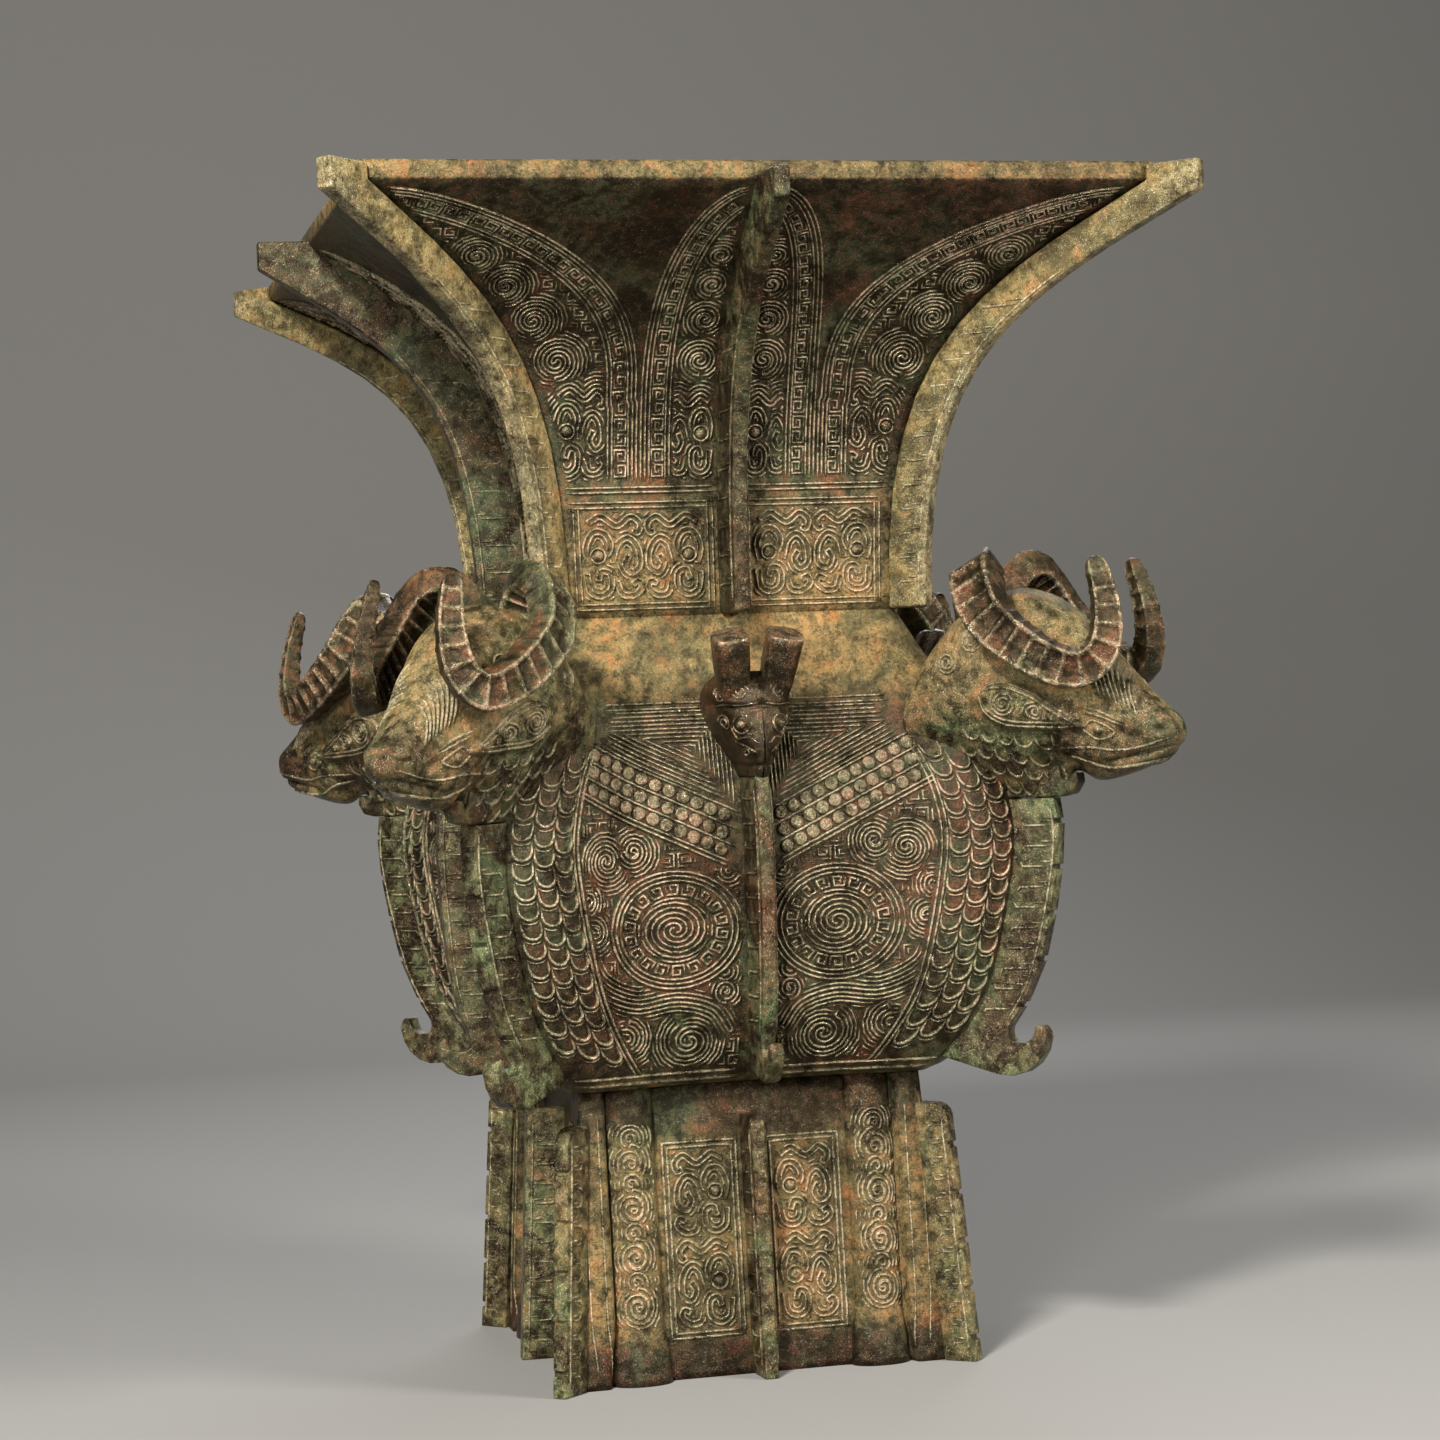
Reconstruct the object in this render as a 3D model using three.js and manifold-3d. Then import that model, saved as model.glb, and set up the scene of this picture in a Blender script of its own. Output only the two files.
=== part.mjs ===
// A square bronze wine vessel (zun) with four rams at its corners, in millimetres, +Z up.
// The origin is the centre of the foot on the ground, and the front face looks along -Y.
// It is cast in sections that seat on one another: foot, belly and neck. The flanges are let into
// grooves, and the ram heads, horns and dragon heads are held by tenons.
import * as THREE from "three";
import { mergeVertices } from "three/addons/utils/BufferGeometryUtils.js";
import Module from "manifold-3d";

const wasm = await Module();
wasm.setup();

// Section heights, stacked from the ground up
const FOOT_HEIGHT = 144.5;
const BELLY_HEIGHT = 232;
const NECK_HEIGHT = 206.5;
const BELLY_Z = FOOT_HEIGHT;
const NECK_Z = BELLY_Z + BELLY_HEIGHT;
const RIM_Z = NECK_Z + NECK_HEIGHT;

// Casting walls, seats and clearances
const WALL = 5; // bronze wall of the three sections
const FLOOR = 10; // floor of the vessel, cast with the belly
const FIT_GAP = 0.3; // clearance at every seat
const SPIGOT_DEPTH = 12; // how far one section reaches into the next
const SPIGOT_WALL = 4;
const TONGUE = 2; // how deep a flange is let into the wall
const TENON_GRIP = 3; // how far a tenon stands out inside the belly
const TENON_HOLD = 12; // how far a tenon reaches into its head

// Neck: a square trumpet whose faces are flat in plan
const NECK_HALF = 86.5; // axis to face at the bottom of the neck
const RIM_HALF = 191.7; // axis to face at the rim
const RIM_BAND = 9.5; // height of the upright band round the rim
const RIM_LEDGE = 9; // width of the flat top of the rim
const NECK_STRAIGHT = 128; // handle of the profile at the bottom, where the neck is upright
const FLARE_HANDLE = 82; // handle of the profile at the rim
const FLARE_RISE = THREE.MathUtils.degToRad(31.4); // slope of the profile as it meets the rim
const NECK_RINGS = 11;

// Belly: flat faces that swell into a round lobe, the chest of a ram, at each corner
const BELLY_HALF = 114; // axis to the middle of a face, at the widest
const CHEST_HALF = 131; // axis to the front of a chest along X or Y, at the widest
const CHEST_SPREAD = 56; // how far a chest takes to run out into the face
const SEAM_ROUND = 6; // corner radius where the belly meets the neck and the foot
const SEAM_STEP = 4; // how far the belly stands out over the foot
const BELLY_RINGS = 13;
// Up the side of the belly: hundredths of its height, then how far the face and the chest draw in and
// the roundness of the chest, in hundredths of CHEST_HALF
const BELLY_STATIONS = [
  { up: 3.5, face: 15.3, chest: 23.7, round: 10.7 },
  { up: 15, face: 6.1, chest: 12.2, round: 16 },
  { up: 27, face: 2.3, chest: 5.7, round: 18.3 },
  { up: 48, face: 0, chest: 0, round: 19.1 },
  { up: 60, face: 1.1, chest: 1.8, round: 19.1 },
  { up: 70, face: 4.9, chest: 7.6, round: 17.6 },
  { up: 80, face: 10.5, chest: 16.8, round: 14.5 },
  { up: 90, face: 16.8, chest: 27.1, round: 9.9 },
];

// Ornament on the belly, beside each mid flange: a whorl, and a slanting band of three ridges above it.
// Its places are in hundredths of BELLY_HALF from the middle of the face, and of BELLY_HEIGHT upwards
const RELIEF = 1.1; // how far it stands out
const WHORL = { along: 36, up: 33.8, radius: 24.5, core: 5 };
const WHORL_WIDE = 1.2; // its width as a share of its height
const WHORL_TURNS = 2.5;
const WHORL_STEPS = 12; // points in a turn
const WHORL_LINE = 4.5; // width of its ridge
const BAND = { along: 7.5, up: 52.4, endAlong: 87, endUp: 71 };
const BAND_RIDGE = 6; // width of one of its ridges
const BAND_PITCH = 8;
const BAND_RIDGES = 3;

// Foot: a hollow square that spreads towards the ground, with the forelegs of the rams on it
const FOOT_TOP_HALF = 78; // axis to face under the belly
const FOOT_HALF = 87; // axis to face on the ground
const CORNER_RISE = 9; // how far the corners of the foot stand out of the faces
const LEG_OFFSET = 61; // middle of a face to the middle of a leg
const LEG_HALF = 12; // half the width of a leg
const LEG_OUT = 7; // how far a leg stands out of the face
const HOOF_HEIGHT = 20;
const HOOF_HALF = 15;
const HOOF_OUT = 10;

// Flanges: how thick they are, and how far they stand out
const NECK_FLANGE_THICK = 11;
const NECK_FLANGE_OUT = 25.5; // mid flange beyond the face, at the bottom of the neck
const NECK_FLANGE_TIP = 26; // mid flange beyond the rim
const NECK_FLANGE_DROP = 7; // its end below the top of the rim
const NECK_CORNER_OUT = 18; // corner flange beyond the corner, at the bottom of the neck
const NECK_CORNER_TIP = 24; // corner flange beyond the corner of the rim
const NECK_CORNER_DROP = 2;
const NECK_FLANGE_END = 14; // height of the square end of a neck flange
const BELLY_FLANGE_THICK = 11;
const BELLY_FLANGE_OUT = 25;
const BELLY_HOOK = 17; // reach of the curl at the bottom of a belly flange
const CHEST_FLANGE_THICK = 12;
const CHEST_FLANGE_OUT = 23;
const CHEST_HOOK = 21;
const HOOK_UP = 22; // where a belly or chest flange turns into its curl, above the foot
const HOOK_ROOT_UP = 8; // where the curl meets the belly, above the foot
const HOOK_Z = BELLY_Z + HOOK_UP;
const HOOK_ROOT_Z = BELLY_Z + HOOK_ROOT_UP;
const FOOT_FLANGE_THICK = 10;
const FOOT_FLANGE_OUT = 19;
const FOOT_CORNER_OUT = 15;
const FOOT_FLANGE_DROP = 16; // top of a foot flange below the belly
const FOOT_FLANGE_ROUND = 9; // rounding of its top corner
const NOTCH_PITCH = 25; // notches along the edge of a flange
const NOTCH_WIDTH = 2.4;
const NOTCH_DEPTH = 1.8;

// Ram head: a neck and head that grow out of a chest. All of it and the curl of its horns are given
// in hundredths of HEAD_REACH, about the front of the chest and HEAD_Z
const HEAD_UP = 0.8125; // share of the height of the belly
const HEAD_Z = BELLY_Z + HEAD_UP * BELLY_HEIGHT;
const HEAD_REACH = 88; // from the chest to the tip of the nose
// Along the head from the chest outwards: its underside, its top and half its width
const HEAD_STATIONS = [
  { out: -53.4, low: -43.2, top: 4.5, half: 33 },
  { out: -37.5, low: -47.7, top: 29.5, half: 35.2 },
  { out: -15.9, low: -54.5, top: 50, half: 36.4 },
  { out: 6.8, low: -60.2, top: 56.2, half: 35.2 },
  { out: 19.3, low: -60.8, top: 54, half: 31.2 },
  { out: 28.4, low: -53.4, top: 50, half: 29 },
  { out: 37.5, low: -46.6, top: 43.2, half: 27.8 },
  { out: 51.1, low: -52.3, top: 29, half: 24.4 },
  { out: 68.2, low: -49.4, top: 9.7, half: 18.2 },
  { out: 81.8, low: -44.9, top: -4, half: 15.3 },
  { out: 93.2, low: -39.8, top: -14.8, half: 13.1 },
  { out: 100, low: -31.2, top: -26.7, half: 5.1 },
].map((station) => hundredths(HEAD_REACH, station));
const HEAD_TENON = hundredths(HEAD_REACH, { half: 12.5, low: -30.7, top: -1.1 });
const EYE = hundredths(HEAD_REACH, { out: 60.2, side: 19.9, up: -24.4, radius: 5.7 });
const EAR = hundredths(HEAD_REACH, { out: 25, side: 32.5, up: -8, long: 30.7, thick: 5.1, high: 9.1 });
const MOUTH = hundredths(HEAD_REACH, { out: 63.6, up: -42.6, long: 45.5, slit: 1.6 });
const BEARD = hundredths(HEAD_REACH, { out: -11.4, long: 50, high: 14.8, thick: 10.2 });
const EAR_TILT = 0.4; // how far the ear hangs forwards, in radians
const MOUTH_TILT = 0.16;
const HEAD_SIDES = 14;
const HEAD_SQUARENESS = 2.4; // 2 is an ellipse
const JAW_TAPER = 0.16; // how much narrower the jaw is than the brow
const THROAT_TAPER = 0.38; // how much more the throat draws in below, where the head leaves the chest
const THROAT_END = 0.34; // where the throat turns into the jaw, as a share of HEAD_REACH

// Ram horn: the line of its curl from the root in the head to the tip
const HORN_PATH = [
  { out: -11.4, side: 12.5, up: 40.9 },
  { out: -9.1, side: 21.6, up: 59.1 },
  { out: -3.4, side: 33, up: 65.3 },
  { out: 1.1, side: 43.2, up: 56.8 },
  { out: 12.5, side: 49.4, up: 37.5 },
  { out: 37.5, side: 45.5, up: 17 },
  { out: 58, side: 37.5, up: 9.7 },
  { out: 69.3, side: 31.2, up: 21 },
  { out: 69.9, side: 27.3, up: 43.8 },
  { out: 63.1, side: 25, up: 70.5 },
].map((point) => hundredths(HEAD_REACH, point));
const HORN_WIDE = 11.5; // half the width of the broad face of the horn at its root
const HORN_DEEP = 7.5; // half its thickness there
const HORN_TIP = 0.4; // the tip's share of the root
const HORN_RIBS = 12;
const HORN_RIB_RISE = 1.4;
const HORN_SIDES = 8;
const HORN_SQUARENESS = 4;
const HORN_TENON = 5; // radius of the tenon at its root

// Dragon head on the middle of each shoulder: plan sections from the chin to the brow, standing out
// from the widest part of the belly, in hundredths of DRAGON_HEIGHT
const DRAGON_UP = 0.655; // share of the height of the belly
const DRAGON_Z = BELLY_Z + DRAGON_UP * BELLY_HEIGHT;
const DRAGON_HEIGHT = 49; // without its horns
const DRAGON_STATIONS = [
  { up: 0, out: 42.9, half: 12.2 },
  { up: 16.3, out: 53.1, half: 19.4 },
  { up: 42.9, out: 52, half: 34.7 },
  { up: 67.3, out: 49, half: 42.9 },
  { up: 85.7, out: 40.8, half: 40.8 },
  { up: 100, out: 24.5, half: 28.6 },
].map((station) => hundredths(DRAGON_HEIGHT, station));
const DRAGON_EYE = hundredths(DRAGON_HEIGHT, { out: 42.5, side: 17.5, up: 51, radius: 10.2 });
const DRAGON_TENON = hundredths(DRAGON_HEIGHT, { half: 13.3, low: 32.7, top: 63.3 });
const DRAGON_HORN = { out: 16.3, side: 18.4, up: 67.3, long: 80, root: 17.1, tip: 19.6 };
const DRAGON_HORN_LEAN = 0.42; // forwards, in radians
const DRAGON_HORN_SPLAY = 0.14; // to the sides, in radians
const DRAGON_INSET = 10; // the middle of the sections behind the widest part of the belly
const DRAGON_SIDES = 12;

const SIDES = { front: -90, right: 0, back: 90, left: 180 };
const CORNERS = { front_right: -45, back_right: 45, back_left: 135, front_left: -135 };
const UP = new THREE.Vector3(0, 0, 1);
const DIAGONAL = Math.SQRT2; // from a distance along X or Y to one along the diagonal
const OVER = 1; // how far a cutter runs past what it cuts

// Sizes given in hundredths of a length, in millimetres
function hundredths(length, sizes) {
  return Object.fromEntries(Object.entries(sizes).map(([key, share]) => [key, (share * length) / 100]));
}

// Booleans between closed geometries

function toSolid(geometry) {
  const bare = geometry.clone();
  bare.deleteAttribute("normal");
  bare.deleteAttribute("uv");
  const merged = mergeVertices(bare, 1e-4);
  const vertProperties = new Float32Array(merged.attributes.position.array);
  const triVerts = new Uint32Array(merged.index.array);
  return new wasm.Manifold(new wasm.Mesh({ numProp: 3, vertProperties, triVerts }));
}

function toGeometry(solid) {
  const mesh = solid.getMesh();
  const geometry = new THREE.BufferGeometry();
  geometry.setAttribute("position", new THREE.BufferAttribute(mesh.vertProperties, 3));
  geometry.setIndex(new THREE.BufferAttribute(mesh.triVerts, 1));
  return geometry;
}

const join = (...parts) => toGeometry(parts.map(toSolid).reduce((a, b) => a.add(b)));
const less = (solid, cutters) => cutters.map(toSolid).reduce((a, b) => a.subtract(b), solid);
const cut = (part, ...cutters) => toGeometry(less(toSolid(part), cutters));
const turned = (geometry, degrees) => geometry.clone().rotateZ(THREE.MathUtils.degToRad(degrees));
const around = (places, geometry) => Object.values(places).map((degrees) => turned(geometry, degrees));

// Shapes

// A closed skin over rings of equally many points, with a fan over the first and the last
function loft(rings) {
  const count = rings[0].length;
  const middle = (ring) => ring.reduce((sum, p) => sum.add(p), new THREE.Vector3()).divideScalar(count);
  const points = [...rings.flat(), middle(rings[0]), middle(rings.at(-1))];
  const end = rings.length * count;
  const index = [];
  for (let ring = 0; ring < rings.length - 1; ring++) {
    for (let j = 0; j < count; j++) {
      const a = ring * count + j;
      const b = ring * count + ((j + 1) % count);
      index.push(a, b, b + count, a, b + count, a + count);
    }
  }
  for (let j = 0; j < count; j++) {
    const next = (j + 1) % count;
    index.push(end, next, j);
    index.push(end + 1, end - count + j, end - count + next);
  }
  const geometry = new THREE.BufferGeometry().setFromPoints(points);
  geometry.setIndex(index);
  return geometry;
}

// A plate cut from an outline in the plane of X, outwards, and Z, and centred on that plane
function plate(shape, thick) {
  const geometry = new THREE.ExtrudeGeometry(shape, { depth: thick, bevelEnabled: false, curveSegments: 5 });
  geometry.rotateX(Math.PI / 2);
  geometry.translate(0, thick / 2, 0);
  return geometry;
}

function block(fromX, toX, half, fromZ, toZ) {
  const geometry = new THREE.BoxGeometry(toX - fromX, half * 2, toZ - fromZ);
  geometry.translate((fromX + toX) / 2, 0, (fromZ + toZ) / 2);
  return geometry;
}

// A ring repeated on the four sides from half a face: pairs of the distance along the face from its
// middle and the distance out from the axis, listed from the middle to the corner
function fourfold(halfFace, z) {
  const mirrored = halfFace.slice(1, -1).reverse().map(([along, out]) => [-along, out]);
  const ring = [];
  for (const degrees of Object.values(SIDES)) {
    const turn = THREE.MathUtils.degToRad(degrees);
    for (const [along, out] of [...mirrored, ...halfFace]) {
      ring.push(new THREE.Vector3(out, along, z).applyAxisAngle(UP, turn));
    }
  }
  return ring;
}

// A cosine or sine that draws a ring squarer than an ellipse
const squared = (v, squareness) => Math.sign(v) * Math.abs(v) ** (2 / squareness);

const squareRing = (half, z) => fourfold([[0, half], [half, half]], z);
const squareBlock = (half, fromZ, toZ) => loft([squareRing(half, fromZ), squareRing(half, toZ)]);

// A value at height z from a list of levels that rises with z
function valueAt(levels, z, key) {
  const next = levels.findIndex((level) => level.z >= z);
  if (next === 0) return levels[0][key];
  if (next < 0) return levels.at(-1)[key];
  const [a, b] = [levels[next - 1], levels[next]];
  return THREE.MathUtils.lerp(a[key], b[key], (z - a.z) / (b.z - a.z));
}

// Heights from low to high that follow the levels of a profile
function heights(levels, low, high) {
  const between = levels.map((level) => level.z).filter((z) => z > low + OVER && z < high - OVER);
  return [low, ...between, high];
}

// Profiles of the three sections

// The flare of the neck, or of the edge of a flange on it, from the seam up to the height given
function flare(baseHalf, topHalf, topZ) {
  const base = new THREE.Vector2(baseHalf, NECK_Z);
  const top = new THREE.Vector2(topHalf, topZ);
  const handle = new THREE.Vector2(Math.cos(FLARE_RISE), Math.sin(FLARE_RISE)).multiplyScalar(FLARE_HANDLE);
  const upright = base.clone().add(new THREE.Vector2(0, NECK_STRAIGHT));
  const curve = new THREE.CubicBezierCurve(base, upright, top.clone().sub(handle), top);
  return curve.getPoints(NECK_RINGS).map((p) => ({ z: p.y, half: p.x }));
}

const neckLevels = [...flare(NECK_HALF, RIM_HALF, RIM_Z - RIM_BAND), { z: RIM_Z, half: RIM_HALF }];
const neckAt = (z) => valueAt(neckLevels, z, "half");
const neckCornerAt = (z) => neckAt(z) * DIAGONAL;

// The belly's stations with its two seams, joined by a smooth curve
function bellyCurve() {
  const inset = SEAM_ROUND * (1 - 1 / DIAGONAL);
  const seam = (z, face, corner) => ({ z, face, chest: corner - inset, round: SEAM_ROUND });
  const sides = BELLY_STATIONS.map((station) => {
    const { face, chest, round } = hundredths(CHEST_HALF, station);
    const z = BELLY_Z + hundredths(BELLY_HEIGHT, station).up;
    return { z, face: BELLY_HALF - face, chest: CHEST_HALF - chest, round };
  });
  const bottom = seam(BELLY_Z, FOOT_TOP_HALF + SEAM_STEP, FOOT_TOP_HALF + CORNER_RISE + SEAM_STEP);
  const stations = [bottom, ...sides, seam(NECK_Z, NECK_HALF, NECK_HALF)];
  const curveOf = (point) => new THREE.CatmullRomCurve3(stations.map(point), false, "catmullrom");
  const plan = curveOf((s) => new THREE.Vector3(s.face, s.chest, s.z)).getPoints(BELLY_RINGS);
  const rounds = curveOf((s) => new THREE.Vector3(s.round, 0, 0)).getPoints(BELLY_RINGS);
  return plan.map((p, i) => ({ z: p.z, face: p.x, chest: p.y, round: rounds[i].x }));
}

const bellyLevels = bellyCurve();
const faceAt = (z) => valueAt(bellyLevels, z, "face");
const chestAt = (z) => valueAt(bellyLevels, z, "chest") * DIAGONAL;
const footLevels = [{ z: 0, half: FOOT_HALF }, { z: FOOT_HEIGHT, half: FOOT_TOP_HALF }];
const footAt = (z) => valueAt(footLevels, z, "half");
const footCornerAt = (z) => (footAt(z) + CORNER_RISE) * DIAGONAL;
const headFoot = CHEST_HALF * DIAGONAL; // the chest, from which the head's sizes are measured
const throatZ = HEAD_Z + Math.min(...HEAD_STATIONS.map((s) => s.low));

// One level of the belly, moved out by grow: a flat face, a swell and the round of a chest
function bellyRing(level, grow, shares, degrees) {
  const round = Math.max(level.round + grow, OVER);
  const face = level.face + grow;
  const middle = level.chest - level.round / DIAGONAL + (grow > -level.round ? 0 : grow + level.round);
  const swell = Math.max(middle + round - face, 0);
  const half = [[0, face]];
  for (const share of shares) {
    const along = middle - CHEST_SPREAD * (1 - share);
    half.push([along, face + swell * THREE.MathUtils.smoothstep(share, 0, 1)]);
  }
  for (const degree of degrees) {
    const a = THREE.MathUtils.degToRad(degree);
    half.push([middle + round * Math.sin(a), face + swell - round * (1 - Math.cos(a))]);
  }
  return fourfold(half, level.z);
}

// The belly's skin moved out by grow, as one closed body with a fine or a plain ring
function bellySkin(levels, grow, fine) {
  const shares = fine ? [0, 0.35, 0.7, 1] : [0, 0.5, 1];
  const degrees = fine ? [22.5, 45] : [45];
  return loft(levels.map((level) => bellyRing(level, grow, shares, degrees)));
}

// Ornament

// A place on a face of the belly from its hundredths: along the face, and up from the ground
function onFace(along, up) {
  return new THREE.Vector2((along * BELLY_HALF) / 100, BELLY_Z + (up * BELLY_HEIGHT) / 100);
}

// The ridge of a whorl, wound in from its rim to its core
function whorl() {
  const middle = onFace(WHORL.along, WHORL.up);
  const { radius, core } = hundredths(BELLY_HALF, WHORL);
  const [outer, inner] = [[], []];
  for (let i = 0; i <= WHORL_TURNS * WHORL_STEPS; i++) {
    const a = (i / WHORL_STEPS) * 2 * Math.PI;
    const size = THREE.MathUtils.lerp(radius, core, i / (WHORL_TURNS * WHORL_STEPS));
    const way = new THREE.Vector2(WHORL_WIDE * Math.cos(a), Math.sin(a));
    outer.push(middle.clone().addScaledVector(way, size));
    inner.push(middle.clone().addScaledVector(way, Math.max(size - WHORL_LINE, 0)));
  }
  return new THREE.Shape([...outer, ...inner.reverse()]);
}

// One ridge of the slanting band, moved across it by the offset
function bandRidge(offset) {
  const low = onFace(BAND.along, BAND.up);
  const high = onFace(BAND.endAlong, BAND.endUp);
  const across = high.clone().sub(low).normalize().rotateAround(new THREE.Vector2(), Math.PI / 2);
  const at = (end, side) => end.clone().addScaledVector(across, offset + (side * BAND_RIDGE) / 2);
  return new THREE.Shape([at(low, -1), at(high, -1), at(high, 1), at(low, 1)]);
}

// The ornament of one face, which looks along X. It stops short of the rams' heads
function faceRelief() {
  const offsets = Array.from({ length: BAND_RIDGES }, (_, i) => (i - (BAND_RIDGES - 1) / 2) * BAND_PITCH);
  const shapes = [whorl(), ...offsets.map(bandRidge)];
  const drawn = new THREE.ExtrudeGeometry(shapes, { depth: CHEST_HALF, bevelEnabled: false });
  const [outwards, sideways] = [new THREE.Vector3(1, 0, 0), new THREE.Vector3(0, 1, 0)];
  drawn.applyMatrix4(new THREE.Matrix4().makeBasis(sideways, UP, outwards));
  const raised = toSolid(drawn).intersect(toSolid(bellySkin(bellyLevels, RELIEF, true)));
  const half = toGeometry(less(raised, [turned(headSkin(FIT_GAP), CORNERS.back_right)]));
  return [half, mirrored(half)];
}

// Grooves and flanges

// The cutter of a groove in a wall whose surface is given, from low to high
function groove(surface, levels, low, high, thick) {
  const shape = new THREE.Shape();
  const steps = heights(levels, low, high);
  const inner = steps.map((z) => new THREE.Vector2(surface(z) - TONGUE - FIT_GAP, z));
  const outer = steps.map((z) => new THREE.Vector2(surface(z) + TONGUE, z));
  shape.setFromPoints([...outer, ...inner.reverse()]);
  return plate(shape, thick + 2 * FIT_GAP);
}

// The edge of a flange from the top down, with notches at an even pitch
function notchedEdge(edge, high, low) {
  const count = Math.max(1, Math.round((high - low) / NOTCH_PITCH));
  const pitch = (high - low) / count;
  const points = [new THREE.Vector2(edge(high), high)];
  for (let i = 0; i < count; i++) {
    const z = high - (i + 0.5) * pitch;
    for (const [step, depth] of [[0.5, 0], [0.5, NOTCH_DEPTH], [-0.5, NOTCH_DEPTH], [-0.5, 0]]) {
      points.push(new THREE.Vector2(edge(z + step * NOTCH_WIDTH) - depth, z + step * NOTCH_WIDTH));
    }
  }
  points.push(new THREE.Vector2(edge(low), low));
  return points;
}

// A flange on the neck: its root follows the wall, and its edge flares to a square end by the rim
function neckFlange(surface, scale, baseOut, tipOut, drop) {
  const low = NECK_Z + FIT_GAP;
  const high = RIM_Z - drop;
  const edge = flare(NECK_HALF + baseOut / scale, RIM_HALF + tipOut / scale, high - NECK_FLANGE_END);
  const tip = edge.at(-1).half * scale;
  const root = heights(neckLevels, low, high).map((z) => new THREE.Vector2(surface(z) - TONGUE, z));
  const rim = edge.reverse().filter((p) => p.z > low).map((p) => new THREE.Vector2(p.half * scale, p.z));
  const bottom = new THREE.Vector2(edge.at(-1).half * scale, low);
  const shape = new THREE.Shape([...root, new THREE.Vector2(tip, high), ...rim, bottom]);
  return plate(shape, NECK_FLANGE_THICK);
}

// A flange on the belly: a notched edge from the top down to a curl that turns up at its tip
function hookedFlange(surface, out, high, thick, reach) {
  const root = heights(bellyLevels, HOOK_ROOT_Z, high).map((z) => new THREE.Vector2(surface(z) - TONGUE, z));
  const edge = notchedEdge((z) => surface(z) + out, high, HOOK_Z);
  const shape = new THREE.Shape([...root, ...edge]);
  const at = (x, y) => [edge.at(-1).x + x * reach, HOOK_Z + y * reach];
  shape.quadraticCurveTo(...at(-0.1, -0.42), ...at(0.42, -0.35));
  shape.quadraticCurveTo(...at(0.68, -0.28), ...at(0.7, 0.04));
  shape.quadraticCurveTo(...at(0.9, 0.14), ...at(1, -0.2));
  shape.bezierCurveTo(...at(0.94, -0.84), ...at(0.36, -1.25), ...at(-0.3, -1.1));
  shape.quadraticCurveTo(...at(-0.8, -0.98), root[0].x, root[0].y);
  return plate(shape, thick);
}

// A flange on the foot: upright, notched and rounded at its top
function footFlange(surface, out) {
  const high = FOOT_HEIGHT - FOOT_FLANGE_DROP;
  const edge = notchedEdge((z) => surface(z) + out, high - FOOT_FLANGE_ROUND, 0);
  const shape = new THREE.Shape();
  shape.moveTo(surface(0) - TONGUE, 0);
  shape.lineTo(surface(high) - TONGUE, high);
  shape.lineTo(edge[0].x - FOOT_FLANGE_ROUND, high);
  shape.quadraticCurveTo(edge[0].x, high, edge[0].x, edge[0].y);
  edge.slice(1).forEach((p) => shape.lineTo(p.x, p.y));
  return plate(shape, FOOT_FLANGE_THICK);
}

// Heads, horns and their tenons, with X along the way each one faces

function tenon(surface, base, size, grow) {
  const fromX = surface(base + size.top) - WALL * DIAGONAL - TENON_GRIP;
  const toX = surface(base + size.low) + TENON_HOLD;
  return block(fromX - grow, toX + grow, size.half + grow, base + size.low - grow, base + size.top + grow);
}

// A ring across the ram's head, squarer than an ellipse and narrower at the jaw
function headRing(station, grow) {
  const ring = [];
  const middle = (station.low + station.top) / 2;
  const high = (station.top - station.low) / 2 + grow;
  const throat = station.out < THROAT_END * HEAD_REACH ? THROAT_TAPER : 0;
  for (let i = 0; i < HEAD_SIDES; i++) {
    const a = (i / HEAD_SIDES) * 2 * Math.PI;
    const taper = 1 + JAW_TAPER * Math.sin(a) + throat * Math.min(Math.sin(a), 0);
    const wide = (station.half + grow) * taper;
    const side = wide * squared(Math.cos(a), HEAD_SQUARENESS);
    const up = middle + high * squared(Math.sin(a), HEAD_SQUARENESS);
    ring.push(new THREE.Vector3(headFoot + station.out, side, HEAD_Z + up));
  }
  return ring;
}

const headSkin = (grow) => loft(HEAD_STATIONS.map((station) => headRing(station, grow)));

function hornCurve() {
  return new THREE.CatmullRomCurve3(
    HORN_PATH.map((p) => new THREE.Vector3(headFoot + p.out, p.side, HEAD_Z + p.up)),
  );
}

// The round tenon of a horn, from its root in the head to the first bend of the curl
function hornTenon(grow) {
  const [root, bend] = hornCurve().points;
  const along = bend.clone().sub(root);
  const long = along.length() + grow;
  const geometry = new THREE.CylinderGeometry(HORN_TENON + grow, HORN_TENON + grow, long, 8);
  const way = along.clone().normalize();
  geometry.applyQuaternion(new THREE.Quaternion().setFromUnitVectors(new THREE.Vector3(0, 1, 0), way));
  const middle = bend.clone().sub(along.setLength(long / 2));
  return geometry.translate(middle.x, middle.y, middle.z);
}

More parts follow.
